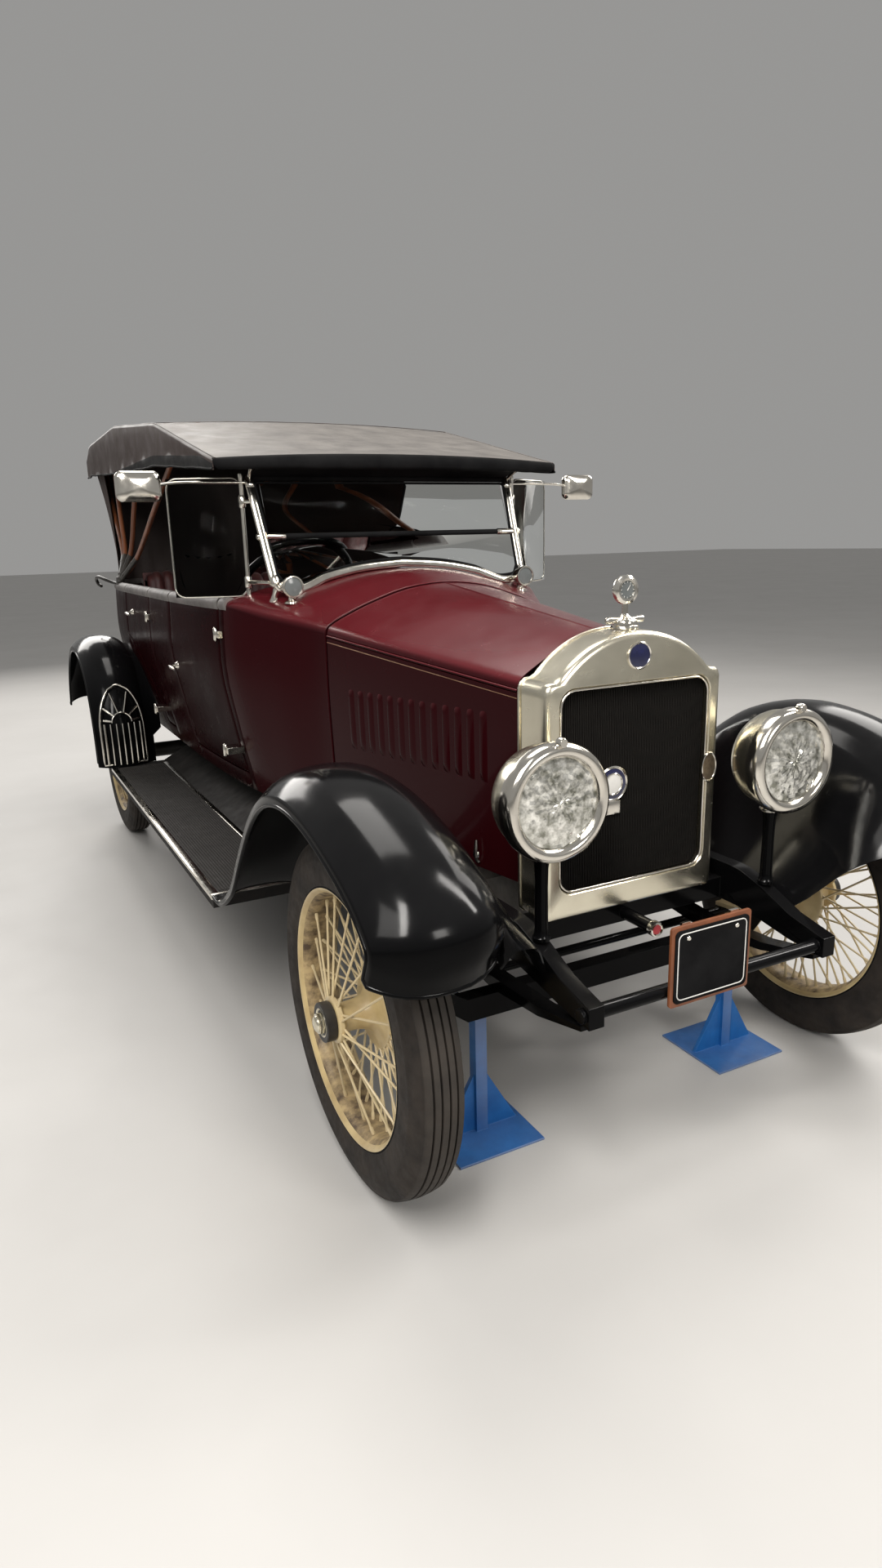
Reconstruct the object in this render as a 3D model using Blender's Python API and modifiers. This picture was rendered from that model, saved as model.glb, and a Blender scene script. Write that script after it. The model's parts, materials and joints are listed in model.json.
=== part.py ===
"""A six-cylinder open tourer of about 1919, right-hand drive, on wire wheels.

Metres, +Z up. The car faces -Y and its right-hand side is at -X. Stations along
the car count from the front axle, and one empty carries them to the middle of
the car's length. Run it with: blender --background --python part.py
"""

import math

import bmesh
import bpy
from mathutils import Matrix, Vector

# Driving dimensions of the car
WHEELBASE = 3.2
BODY_HALF = 0.66
WHEEL_OFFSET = 0.051
TRACK = 2 * (BODY_HALF + WHEEL_OFFSET)
TYRE_RADIUS = 0.413
TYRE_WIDTH = 0.116
NOSE_REACH = 0.062
REACH_AHEAD = TYRE_RADIUS + NOSE_REACH
REACH_BEHIND = 4.075
MIDDLE_Y = (REACH_BEHIND - REACH_AHEAD) / 2

# Clearances and cutting allowances
SEAT_GAP = 0.0003
RUN_GAP = 0.006
OVERRUN = 0.05
PI = math.pi

# Chassis frame
RAIL_X = 0.345
RAIL_WIDTH = 0.04
RAIL_RISE = 0.187
RAIL_TOP = TYRE_RADIUS + RAIL_RISE
RAIL_DEPTH = 0.105
RAIL_END_Y = 3.66
HORN_TIP_Y = -0.395
HORN_TIP_RISE = 0.069
HORN_TIP_Z = TYRE_RADIUS + HORN_TIP_RISE
HORN_DEPTH = 0.05
SPREADER_RADIUS = 0.017
CROSS_DEPTH = 0.045
CROSS_WIDTH = 0.06

# Bonnet, scuttle and tub: widths are half widths at the belt or crease line
BONNET_FRONT_Y = 0.051
BONNET_REAR_Y = 0.905
SCUTTLE_REAR_Y = 1.36
TUB_REAR_Y = 3.86
BONNET_FRONT_HALF = 0.257
BONNET_REAR_HALF = 0.415
CREASE_FRONT_Z = 1.112
CREASE_REAR_Z = 1.187
CROWN_FRONT_Z = 1.228
CROWN_REAR_Z = 1.325
SCUTTLE_CROWN_Z = 1.366
BELT_Z = 1.26
BODY_BOTTOM_Z = RAIL_TOP + SEAT_GAP
BONNET_LIFT = 0.022
BONNET_BOTTOM_Z = RAIL_TOP + BONNET_LIFT
BONNET_SHEET = 0.006
HINGE_ROD = 0.005
BODY_WALL = 0.04
FLOOR_THICK = 0.03

# Radiator
RADIATOR_FRONT_Y = -0.079
RADIATOR_DEPTH = 0.124
RADIATOR_HALF = 0.2625
RADIATOR_DROP = 0.044
RADIATOR_BOTTOM_Z = RAIL_TOP - RADIATOR_DROP
SHOULDER_Z = 1.137
RADIATOR_TOP_Z = 1.241
CORE_HALF = 0.224
CORE_LIFT = 0.066
CORE_BOTTOM_Z = RADIATOR_BOTTOM_Z + CORE_LIFT
CORE_TOP_Z = 1.12
CORE_CORNER = 0.04

# Axles and steering
KINGPIN_OFFSET = 0.121
KINGPIN_X = TRACK / 2 - KINGPIN_OFFSET
AXLE_BEAM_DROP = 0.061
AXLE_BEAM_Z = TYRE_RADIUS - AXLE_BEAM_DROP
AXLE_BEAM_DEPTH = 0.06
AXLE_BEAM_WIDTH = 0.045
SPRING_X = 0.345
SPRING_WIDTH = 0.045
SPRING_THICK = 0.034
STEERING_ARM = 0.17
TIE_ROD_DROP = 0.078
TIE_ROD_Z = TYRE_RADIUS - TIE_ROD_DROP
TIE_ROD_RADIUS = 0.013
COLUMN_X = -0.285
WHEEL_HUB_Y = 1.50
WHEEL_HUB_Z = 1.33
COLUMN_RAKE = math.radians(52)
STEERING_WHEEL_RADIUS = 0.205

# Doors
DOOR_GAP = 0.006
FRONT_DOOR_Y = 1.40
FRONT_DOOR_WIDTH = 0.62
REAR_DOOR_Y = 2.44
REAR_DOOR_WIDTH = 0.58
DOOR_SILL = 0.06
DOOR_BOTTOM_Z = RAIL_TOP + DOOR_SILL

# Fenders and running boards
FENDER_INSIDE = 0.126
FENDER_OUTSIDE = 0.144
REAR_FENDER_OUTSIDE = 0.194
FENDER_INNER_X = TRACK / 2 - FENDER_INSIDE
FENDER_OUTER_X = TRACK / 2 + FENDER_OUTSIDE
REAR_FENDER_INNER_X = BODY_HALF + RUN_GAP
REAR_FENDER_OUTER_X = TRACK / 2 + REAR_FENDER_OUTSIDE
FENDER_RISE = 0.569
FENDER_TOP_Z = TYRE_RADIUS + FENDER_RISE
REAR_FENDER_RISE = 0.623
REAR_FENDER_TOP_Z = TYRE_RADIUS + REAR_FENDER_RISE
ROOM_AHEAD = 0.087
ROOM_BEHIND = 0.162
REAR_FENDER_AHEAD = TYRE_RADIUS + ROOM_AHEAD
REAR_FENDER_BEHIND = TYRE_RADIUS + ROOM_BEHIND
FENDER_CROWN = 0.055
FENDER_SHEET = 0.006
BOARD_BEHIND_TYRE = 0.387
BOARD_FRONT_Y = TYRE_RADIUS + BOARD_BEHIND_TYRE
BOARD_REAR_Y = 2.755
BOARD_INSET = 0.06
BOARD_INNER_X = BODY_HALF - BOARD_INSET
BOARD_DROP = 0.15
BOARD_TOP_Z = RAIL_TOP - BOARD_DROP
BOARD_THICK = 0.035
MAT_THICK = 0.003
MAT_EDGE = 0.02

# Windscreen and top
SCREEN_INSET = 0.185
SCREEN_HALF = BODY_HALF - SCREEN_INSET
SCREEN_FOOT_Y = 1.215
SCREEN_FOOT_Z = 1.385
SCREEN_TOP_Y = 1.335
SCREEN_TOP_Z = 1.672
SCREEN_TUBE = 0.011
SCREEN_BAR_Z = 1.482
GLASS_THICK = 0.006
TOP_INSET = 0.02
TOP_HALF = BODY_HALF - TOP_INSET
TOP_SHEET = 0.01
HEADER_Y = 1.22
HEADER_Z = 1.742
ROOF_Z = 2.02
TOP_REAR_Y = 4.06

# Wheel and spare
RIM_SHARE = 0.736
RIM_FLANGE_RADIUS = TYRE_RADIUS * RIM_SHARE
RIM_HALF = 0.052
HUB_REACH = 0.121
SPOKE_RADIUS = 0.0028
WHEEL_STEPS = 24
SPARE_Y = REACH_BEHIND - HUB_REACH
SPARE_Z = 0.86


def collection(name):
    found = bpy.data.collections.new(name)
    bpy.context.scene.collection.children.link(found)
    return found


def material(name, colour, roughness, metallic=0.0):
    made = bpy.data.materials.new(name)
    made.use_nodes = True
    shader = made.node_tree.nodes["Principled BSDF"]
    shader.inputs["Base Color"].default_value = (*colour, 1.0)
    shader.inputs["Roughness"].default_value = roughness
    shader.inputs["Metallic"].default_value = metallic
    return made


for old in list(bpy.data.objects):
    bpy.data.objects.remove(old, do_unlink=True)

PARTS = collection("vintage_tourer")
GUIDES = collection("cutters")

CAR = bpy.data.objects.new("car_origin", None)
CAR.location = (0.0, -MIDDLE_Y, 0.0)
PARTS.objects.link(CAR)

MAROON = material("maroon_paint", (0.16, 0.012, 0.018), 0.25)
BLACK = material("black_enamel", (0.008, 0.008, 0.009), 0.2)
NICKEL = material("nickel", (0.62, 0.58, 0.48), 0.25, 1.0)
CREAM = material("cream_enamel", (0.62, 0.52, 0.3), 0.4)
RUBBER = material("tyre_rubber", (0.02, 0.02, 0.021), 0.8)
CLOTH = material("leathercloth", (0.03, 0.03, 0.032), 0.6)
LEATHER = material("dark_red_leather", (0.09, 0.018, 0.018), 0.5)
WOOD = material("bow_wood", (0.35, 0.13, 0.04), 0.5)
GLASS = material("glass", (0.6, 0.7, 0.68), 0.05)
CAST = material("cast_iron", (0.09, 0.09, 0.09), 0.6, 0.5)
BLUE = material("blue_stand_paint", (0.01, 0.12, 0.35), 0.45)
MAT = material("board_mat", (0.02, 0.02, 0.02), 0.8)


# Small tools that each make or change one object


def hang(name, mesh, finish, guide=False):
    """Links a new object under the car's empty, as a part or as a guide."""
    obj = bpy.data.objects.new(name, mesh)
    obj.parent = CAR
    (GUIDES if guide else PARTS).objects.link(obj)
    if finish:
        mesh.materials.clear()
        mesh.materials.append(finish)
    if guide:
        make_guide(obj)
    return obj


def make_guide(obj):
    """Turns an object into a helper that the finished part leaves out."""
    obj.hide_render = True
    obj.display_type = "WIRE"
    if obj.name in PARTS.objects:
        PARTS.objects.unlink(obj)
        GUIDES.objects.link(obj)
    return obj


def mesh_from(name, build):
    """A mesh made by a function that fills a bmesh, with its faces turned outward."""
    shape = bmesh.new()
    build(shape)
    bmesh.ops.recalc_face_normals(shape, faces=shape.faces)
    mesh = bpy.data.meshes.new(name)
    shape.to_mesh(mesh)
    shape.free()
    return mesh


def box(name, low, high, finish=None, guide=False):
    """A rectangular block between two corners."""
    low, high = Vector(low), Vector(high)

    def build(shape):
        bmesh.ops.create_cube(shape, size=1.0)
        size = high - low
        bmesh.ops.scale(shape, vec=size, verts=shape.verts)
        bmesh.ops.translate(shape, vec=(low + high) / 2, verts=shape.verts)

    return hang(name, mesh_from(name, build), finish, guide)


def rod(name, start, end, radius, finish=None, guide=False, sides=10, end_radius=None):
    """A round bar between two points, tapered where the end radius differs."""
    start, end = Vector(start), Vector(end)
    axis = end - start
    turn = Vector((0, 0, 1)).rotation_difference(axis).to_matrix().to_4x4()

    def build(shape):
        bmesh.ops.create_cone(
            shape,
            cap_ends=True,
            segments=sides,
            radius1=radius,
            radius2=radius if end_radius is None else end_radius,
            depth=axis.length,
            matrix=Matrix.Translation((start + end) / 2) @ turn,
        )

    return hang(name, mesh_from(name, build), finish, guide)


def tube(name, points, radius, finish=None, guide=False, closed=False, resolution=1):
    """A bent bar: a curve with a round bevel and filled caps, made a welded mesh."""
    curve = bpy.data.curves.new(name, "CURVE")
    curve.dimensions = "3D"
    curve.bevel_depth = radius
    curve.bevel_resolution = resolution
    curve.use_fill_caps = not closed
    line = curve.splines.new("POLY")
    line.points.add(len(points) - 1)
    for knot, point in zip(line.points, points):
        knot.co = (*point, 1.0)
    line.use_cyclic_u = closed
    bent = bpy.data.objects.new(name + "_line", curve)
    GUIDES.objects.link(bent)
    bpy.context.view_layer.update()
    graph = bpy.context.evaluated_depsgraph_get()
    mesh = bpy.data.meshes.new_from_object(bent.evaluated_get(graph))
    bpy.data.objects.remove(bent, do_unlink=True)
    weld = bmesh.new()
    weld.from_mesh(mesh)
    bmesh.ops.remove_doubles(weld, verts=weld.verts, dist=SEAT_GAP / 10)
    bmesh.ops.recalc_face_normals(weld, faces=weld.faces)
    weld.to_mesh(mesh)
    weld.free()
    return hang(name, mesh, finish, guide)


PLANES = {
    "YZ": lambda along, up: (0.0, along, up),
    "XZ": lambda along, up: (along, 0.0, up),
    "XY": lambda along, up: (along, up, 0.0),
}
NORMALS = {"YZ": Vector((1, 0, 0)), "XZ": Vector((0, 1, 0)), "XY": Vector((0, 0, 1))}


def plate(name, plane, outline, low, high, finish=None, guide=False):
    """A flat outline in one plane, carried from low to high along its normal."""
    normal = NORMALS[plane]

    def build(shape):
        corners = [shape.verts.new(Vector(PLANES[plane](*p)) + normal * low) for p in outline]
        face = shape.faces.new(corners)
        grown = bmesh.ops.extrude_face_region(shape, geom=[face])
        moved = [v for v in grown["geom"] if isinstance(v, bmesh.types.BMVert)]
        bmesh.ops.translate(shape, vec=normal * (high - low), verts=moved)

    return hang(name, mesh_from(name, build), finish, guide)


def turned(name, profile, centre, axis, finish=None, guide=False, steps=24):
    """A profile of (radius, height) points, run down its outer side, turned about an axis."""
    mesh = bpy.data.meshes.new(name)
    points = [(radius, 0.0, height) for radius, height in profile]
    edges = [(i, i + 1) for i in range(len(points) - 1)]
    if profile[0][0] > 0 and profile[-1][0] > 0:
        edges.append((len(points) - 1, 0))
    mesh.from_pydata(points, edges, [])
    obj = hang(name, mesh, finish, guide)
    obj.location = centre
    obj.rotation_euler = Vector((0, 0, 1)).rotation_difference(Vector(axis)).to_euler()
    screw = obj.modifiers.new("turn", "SCREW")
    screw.steps = steps
    screw.render_steps = steps
    screw.use_merge_vertices = True
    screw.merge_threshold = SEAT_GAP / 10
    return obj


def loft(name, rings, finish=None, guide=False):
    """A closed solid through rings of equally many points."""

    def build(shape):
        rows = [[shape.verts.new(point) for point in ring] for ring in rings]
        count = len(rings[0])
        for first, second in zip(rows, rows[1:]):
            for i in range(count):
                j = (i + 1) % count
                shape.faces.new((first[i], first[j], second[j], second[i]))
        shape.faces.new(rows[0])
        shape.faces.new(rows[-1])

    return hang(name, mesh_from(name, build), finish, guide)


def sheet(name, rows, thickness, finish=None, guide=False, offset=-1.0):
    """An open grid of points with Solidify, for pressed metal and cloth."""

    def build(shape):
        grid = [[shape.verts.new(point) for point in row] for row in rows]
        for first, second in zip(grid, grid[1:]):
            for i in range(len(first) - 1):
                shape.faces.new((first[i], first[i + 1], second[i + 1], second[i]))

    obj = hang(name, mesh_from(name, build), finish, guide)
    solid = obj.modifiers.new("thickness", "SOLIDIFY")
    solid.thickness = thickness
    solid.offset = offset
    solid.use_even_offset = True
    return obj


def combine(obj, others, operation):
    for other in others:
        change = obj.modifiers.new(operation.lower(), "BOOLEAN")
        change.operation = operation
        change.solver = "EXACT"
        change.object = make_guide(other)
    return obj


def fuse(obj, *others):
    return combine(obj, others, "UNION")


def cut(obj, *others):
    return combine(obj, others, "DIFFERENCE")


def keep(obj, *others):
    return combine(obj, others, "INTERSECT")


def smooth(obj, degrees=35):
    obj.data.shade_smooth()
    obj.data.set_sharp_from_angle(angle=math.radians(degrees))
    return obj


def mix(start, end, share):
    return start + (end - start) * share


def table_at(table, place):
    """Reads a table of rows (place, values...) at a place between its rows."""
    for first, second in zip(table, table[1:]):
        if place <= second[0]:
            share = max(0.0, (place - first[0]) / (second[0] - first[0]))
            return [mix(a, b, share) for a, b in zip(first[1:], second[1:])]
    return list(table[-1][1:])


def side_name(side):
    return "left" if side > 0 else "right"


SIDES = (-1, 1)


# The body's outer surface: one set of stations serves bonnet, scuttle and tub

COWL_Y = mix(BONNET_REAR_Y, SCUTTLE_REAR_Y, 0.55)
# columns: y, half width at the crease, crease z, crown z, tuck of the lower side
BODY_STATIONS = (
    (BONNET_FRONT_Y, BONNET_FRONT_HALF, CREASE_FRONT_Z, CROWN_FRONT_Z, 0.0),
    (BONNET_REAR_Y, BONNET_REAR_HALF, CREASE_REAR_Z, CROWN_REAR_Z, 0.25),
    (COWL_Y, BODY_HALF * 0.8, mix(CREASE_REAR_Z, BELT_Z, 0.5), SCUTTLE_CROWN_Z, 0.7),
    (SCUTTLE_REAR_Y, BODY_HALF * 0.93, BELT_Z, SCUTTLE_CROWN_Z, 1.0),
    (mix(SCUTTLE_REAR_Y, TUB_REAR_Y, 0.14), BODY_HALF * 0.98, BELT_Z, SCUTTLE_CROWN_Z, 1.0),
    (mix(SCUTTLE_REAR_Y, TUB_REAR_Y, 0.30), BODY_HALF, BELT_Z, SCUTTLE_CROWN_Z, 1.0),
    (mix(SCUTTLE_REAR_Y, TUB_REAR_Y, 0.68), BODY_HALF, BELT_Z, SCUTTLE_CROWN_Z, 1.0),
    (mix(SCUTTLE_REAR_Y, TUB_REAR_Y, 0.84), BODY_HALF * 0.97, BELT_Z, SCUTTLE_CROWN_Z, 1.0),
    (mix(SCUTTLE_REAR_Y, TUB_REAR_Y, 0.95), BODY_HALF * 0.86, BELT_Z, SCUTTLE_CROWN_Z, 1.0),
    (TUB_REAR_Y, BODY_HALF * 0.68, BELT_Z, SCUTTLE_CROWN_Z, 1.0),
)
# columns: share of the height from the sill to the crease, share of the half width
SIDE_SHARES = ((0.0, 0.87), (0.35, 0.945), (0.72, 1.0), (1.0, 0.99))
# columns: share of the half width, share of the rise from the crease to the crown
ARCH_SHARES = ((0.86, 0.30), (0.62, 0.64), (0.33, 0.90), (0.0, 1.0))


def side_points(y, bottom, top, inset):
    """(x, z) points up one side, from the bottom to the top of the crease line."""
    half, crease, crown, tuck = table_at(BODY_STATIONS, y)
    points = []
    for height, width in SIDE_SHARES:
        z = mix(BODY_BOTTOM_Z, crease, height)
        x = half * mix(1.0, width, tuck) - inset
        points.append((x, min(max(z, bottom), top)))
    points[0] = (points[0][0], bottom)
    return points


def arch_points(y, inset):
    """(x, z) points from the crease to the crown, on the +X half."""
    half, crease, crown, tuck = table_at(BODY_STATIONS, y)
    half -= inset
    low = crease - inset
    return [(half * share, mix(low, crown - inset, rise)) for share, rise in ARCH_SHARES]


def hull_ring(y, bottom, inset, top=None):
    """A closed ring of the body at one station, with its arch or with a flat top."""
    side = side_points(y, bottom, table_at(BODY_STATIONS, y)[1], inset)
    if top is None:
        right = side + arch_points(y, inset)[:-1]
        crown = [(0.0, arch_points(y, inset)[-1][1])]
    else:
        right = side[:-1] + [(side[-1][0], top)]
        crown = []
    left = [(-x, z) for x, z in reversed(right)]
    return [(x, y, z) for x, z in right + crown + left]


# Wheels


BED_SHARE = 0.945
WELL_SHARE = 0.91


def rim_profile():
    """The rim's channel, from its outboard flange round to the well, as (radius, height)."""
    flange = RIM_FLANGE_RADIUS
    bed = flange * BED_SHARE
    well = flange * WELL_SHARE
    return (
        (flange, RIM_HALF),
        (bed, RIM_HALF * 0.80),
        (bed, -RIM_HALF * 0.80),
        (flange, -RIM_HALF),
        (well, -RIM_HALF * 0.72),
        (well, RIM_HALF * 0.72),
    )


HUB_RADIUS = 0.034
INNER_FLANGE_RADIUS = 0.088
OUTER_FLANGE_RADIUS = 0.05
INNER_FLANGE_Y = -0.028
OUTER_FLANGE_Y = 0.07
FLANGE_THICK = 0.007
HUB_INNER_Y = -0.045
CAP_RADIUS = 0.03
SPOKE_SINK = 0.006
RIM_SPOKE_RADIUS = RIM_FLANGE_RADIUS * 0.93
# columns: copies, hub radius, hub height, rim height, lean round the wheel in radians
SPOKE_ROWS = (
    (10, OUTER_FLANGE_RADIUS, OUTER_FLANGE_Y + FLANGE_THICK / 3, RIM_HALF * 0.42, 0.30),
    (10, OUTER_FLANGE_RADIUS, OUTER_FLANGE_Y - FLANGE_THICK / 3, RIM_HALF * 0.23, -0.30),
    (20, INNER_FLANGE_RADIUS, INNER_FLANGE_Y + FLANGE_THICK / 3, RIM_HALF * -0.12, 0.36),
    (20, INNER_FLANGE_RADIUS, INNER_FLANGE_Y - FLANGE_THICK / 3, RIM_HALF * -0.35, -0.36),
)
DRUM_RADIUS = 0.17
DRUM_DEPTH = 0.055


def hub_profile():
    """The hub shell with its two spoke flanges and its cap nut, as (radius, height)."""
    shell = HUB_RADIUS
    return (
        (0.0, HUB_REACH),
        (CAP_RADIUS, HUB_REACH),
        (CAP_RADIUS, OUTER_FLANGE_Y + FLANGE_THICK * 1.5),
        (OUTER_FLANGE_RADIUS, OUTER_FLANGE_Y + FLANGE_THICK),
        (OUTER_FLANGE_RADIUS, OUTER_FLANGE_Y - FLANGE_THICK),
        (shell, OUTER_FLANGE_Y - FLANGE_THICK * 2),
        (shell * 1.25, INNER_FLANGE_Y + FLANGE_THICK * 3),
        (INNER_FLANGE_RADIUS, INNER_FLANGE_Y + FLANGE_THICK),
        (INNER_FLANGE_RADIUS, INNER_FLANGE_Y - FLANGE_THICK),
        (shell * 1.5, HUB_INNER_Y),
        (0.0, HUB_INNER_Y),
    )


def drum_profile():
    """The rear wheel's brake drum, a shallow pan open on its inboard side."""
    face = HUB_INNER_Y
    wall = FLANGE_THICK
    return (
        (0.0, face + wall),
        (DRUM_RADIUS, face + wall),
        (DRUM_RADIUS, face - DRUM_DEPTH),
        (DRUM_RADIUS - wall, face - DRUM_DEPTH),
        (DRUM_RADIUS - wall, face),
        (0.0, face),
    )


def spokes(name, steps=3):
    """All spokes of one wheel as slim bars that don't touch each other."""

    def build(shape):
        for copies, hub_radius, hub_z, rim_z, lean in SPOKE_ROWS:
            for i in range(copies):
                turn = 2 * PI * (i + (0.5 if lean < 0 else 0.0)) / copies
                inner = hub_radius - SPOKE_SINK
                start = Vector((inner * math.cos(turn), inner * math.sin(turn), hub_z))
                reach = RIM_SPOKE_RADIUS
                end = Vector((reach * math.cos(turn + lean), reach * math.sin(turn + lean), rim_z))
                axis = end - start
                aim = Vector((0, 0, 1)).rotation_difference(axis).to_matrix().to_4x4()
                bmesh.ops.create_cone(
                    shape,
                    cap_ends=True,
                    segments=steps,
                    radius1=SPOKE_RADIUS,
                    radius2=SPOKE_RADIUS,
                    depth=axis.length,
                    matrix=Matrix.Translation((start + end) / 2) @ aim,
                )

    return mesh_from(name, build)


def wire_wheel(name, centre, axis, drum=False):
    """Rim, hub and crossing spokes joined as one solid; the axis points outboard."""
    wheel = turned(name, rim_profile(), centre, axis, CREAM, steps=WHEEL_STEPS)
    hub = turned(name + "_hub", hub_profile(), centre, axis, guide=True, steps=10)
    laced = hang(name + "_spokes", spokes(name + "_spokes"), None, guide=True)
    laced.location = centre
    laced.rotation_euler = wheel.rotation_euler
    if drum:
        pan = turned(name + "_drum", drum_profile(), centre, axis, guide=True, steps=20)
        fuse(hub, pan)
    return fuse(wheel, laced, hub)


def tyre(name, centre, axis):
    """A high-pressure tyre: round shouldered, seated on the rim's bed with a hair of clearance."""
    bed = RIM_FLANGE_RADIUS * BED_SHARE + SEAT_GAP * 2
    half = TYRE_WIDTH / 2
    height = TYRE_RADIUS - bed
    # columns: share of the height below the tread, share of the half width
    side = ((0.0, 0.68), (0.22, 0.96), (0.83, 0.86))
    down = [(TYRE_RADIUS - height * a, -half * b) for a, b in side] + [(bed, -RIM_HALF * 0.68)]
    up = [(radius, -z) for radius, z in reversed(down)]
    return turned(name, down + up, centre, axis, RUBBER, steps=WHEEL_STEPS)


for end, y in (("front", 0.0), ("rear", WHEELBASE)):
    for side in SIDES:
        centre = (side * TRACK / 2, y, TYRE_RADIUS)
        wire_wheel(f"wire_wheel_{end}_{side_name(side)}", centre, (side, 0, 0), drum=end == "rear")
        tyre(f"tyre_{end}_{side_name(side)}", centre, (side, 0, 0))


# Chassis frame


# shares of the horn's reach ahead of the radiator, and of its fall to the tip
HORN_SHARES = ((0.0, 0.0), (0.12, 0.04), (0.36, 0.30), (0.66, 0.74), (1.0, 1.0))


def horn_line(start_z, end_z):
    """(y, z) points along one edge of the horn, from the radiator to its tip."""
    return [(mix(RADIATOR_FRONT_Y, HORN_TIP_Y, a), mix(start_z, end_z, b)) for a, b in HORN_SHARES]


def horn_top(y):
    """Height of the horn's upper edge at one place ahead of the radiator."""
    line = list(reversed(horn_line(RAIL_TOP, HORN_TIP_Z + HORN_DEPTH / 2)))
    return table_at(line, y)[0]


def rail_outline():
    """Side view of one rail, from its curved front horn to its rear end, as (y, z)."""
    low = RAIL_TOP - RAIL_DEPTH
    upper = horn_line(RAIL_TOP, HORN_TIP_Z + HORN_DEPTH / 2)
    lower = horn_line(low, HORN_TIP_Z - HORN_DEPTH / 2)
    return [(RAIL_END_Y, RAIL_TOP)] + upper + list(reversed(lower)) + [(RAIL_END_Y, low)]


def frame_parts():
    """Two rails, the front spreader bar and the cross members, joined."""
    rails = []
    for side in SIDES:
        low = side * RAIL_X - RAIL_WIDTH / 2
        name = f"rail_{side_name(side)}"
        rails.append(plate(name, "YZ", rail_outline(), low, low + RAIL_WIDTH, BLACK))
    frame = rails[0]
    frame.name = "chassis_frame"
    low = RAIL_TOP - RAIL_DEPTH + RUN_GAP / 2
    # columns: y, highest z
    members = (
        (RADIATOR_FRONT_Y + RADIATOR_DEPTH / 2, RADIATOR_BOTTOM_Z - SEAT_GAP),
        (BONNET_REAR_Y + CROSS_WIDTH * 2, low + CROSS_DEPTH),
        (mix(BONNET_REAR_Y, WHEELBASE, 0.5), low + CROSS_DEPTH),
        (WHEELBASE - TYRE_RADIUS * 0.9, low + CROSS_DEPTH),
        (RAIL_END_Y - CROSS_WIDTH / 2, low + CROSS_DEPTH),
    )
    crosses = [
        box(f"cross_{i}", (-RAIL_X, y - CROSS_WIDTH / 2, low), (RAIL_X, y + CROSS_WIDTH / 2, top))
        for i, (y, top) in enumerate(members)
    ]
    ends = [(side * (RAIL_X + RAIL_WIDTH * 0.7), HORN_TIP_Y + HORN_DEPTH / 2, HORN_TIP_Z) for side in SIDES]
    spreader = rod("spreader", ends[0], ends[1], SPREADER_RADIUS)
    crank_y = RADIATOR_FRONT_Y - CRANK_REACH
    crank_end = (0, RADIATOR_FRONT_Y + RADIATOR_DEPTH, CRANK_Z)
    crank = rod("crank", (0, crank_y, CRANK_Z), crank_end, CRANK_RADIUS)
    return fuse(frame, rails[1], *crosses, spreader, crank)


CRANK_REACH = 0.09
CRANK_Z = RAIL_TOP - RAIL_DEPTH + CROSS_DEPTH * 0.6
CRANK_RADIUS = 0.016
frame_parts()


# Front axle, knuckles and steering

KNUCKLE_FORK = 0.05
KNUCKLE_PLATE = 0.016
PIN_RADIUS = 0.017
BOSS_RADIUS = 0.026
BOSS_HALF = 0.034
STUB_RADIUS = 0.03


# where a spring's half bends: shares of its reach from the axle and of its rise to the eye
SPRING_BEND_SHARES = (0.55, 0.25)


def spring(name, side, axle_y, front_y, rear_y, eye_front_z, eye_rear_z, seat_z):
    """A leaf spring as one bent pack, thick over the axle and one leaf thick at its eyes."""
    leaf = SPRING_THICK / 3
    # columns: y, z of the top face, thickness
    reach, rise = SPRING_BEND_SHARES
    rows = (
        (front_y, eye_front_z, leaf),
        (mix(axle_y, front_y, reach), mix(seat_z, eye_front_z, rise), leaf * 2),
        (axle_y, seat_z, SPRING_THICK),
        (mix(axle_y, rear_y, reach), mix(seat_z, eye_rear_z, rise), leaf * 2),
        (rear_y, eye_rear_z, leaf),
    )
    outline = [(y, z) for y, z, thick in rows] + [(y, z - thick) for y, z, thick in reversed(rows)]
    middle = side * SPRING_X
    return plate(name, "YZ", outline, middle - SPRING_WIDTH / 2, middle + SPRING_WIDTH / 2)


def front_axle():
    """A dropped beam with a boss at each kingpin and the springs on their seats."""
    half = AXLE_BEAM_DEPTH / 2
    # columns: share of the kingpin's x, rise of the middle line, share of the depth
    drops = ((1.0, 1.0, 0.66), (0.90, 1.0, 0.66), (0.84, 0.55, 0.9), (0.76, 0.0, 1.0))
    rise = TYRE_RADIUS - AXLE_BEAM_Z
    right = [(KINGPIN_X * a, AXLE_BEAM_Z + rise * b, half * c) for a, b, c in drops]
    line = [(-x, z, deep) for x, z, deep in right] + list(reversed(right))
    upper = [(x, z + deep) for x, z, deep in line]
    lower = [(x, z - deep) for x, z, deep in reversed(line)]
    beam = plate("front_axle", "XZ", upper + lower, -AXLE_BEAM_WIDTH / 2, AXLE_BEAM_WIDTH / 2, BLACK)
    others = []
    seat = AXLE_BEAM_Z + half + SPRING_THICK
    for side in SIDES:
        foot = (side * KINGPIN_X, 0, TYRE_RADIUS - BOSS_HALF)
        head = (side * KINGPIN_X, 0, TYRE_RADIUS + BOSS_HALF)
        others.append(rod(f"kingpin_boss_{side_name(side)}", foot, head, BOSS_RADIUS))
        eye = HORN_TIP_Z - HORN_DEPTH / 2 - SEAT_GAP
        others.append(
            spring(
                f"front_spring_{side_name(side)}",
                side,
                0.0,
                HORN_TIP_Y + HORN_DEPTH / 2,
                -HORN_TIP_Y * 1.15,
                eye,
                RAIL_TOP - RAIL_DEPTH - SEAT_GAP,
                seat - SEAT_GAP,
            )
        )
    return fuse(beam, *others)


front_axle()


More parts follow.
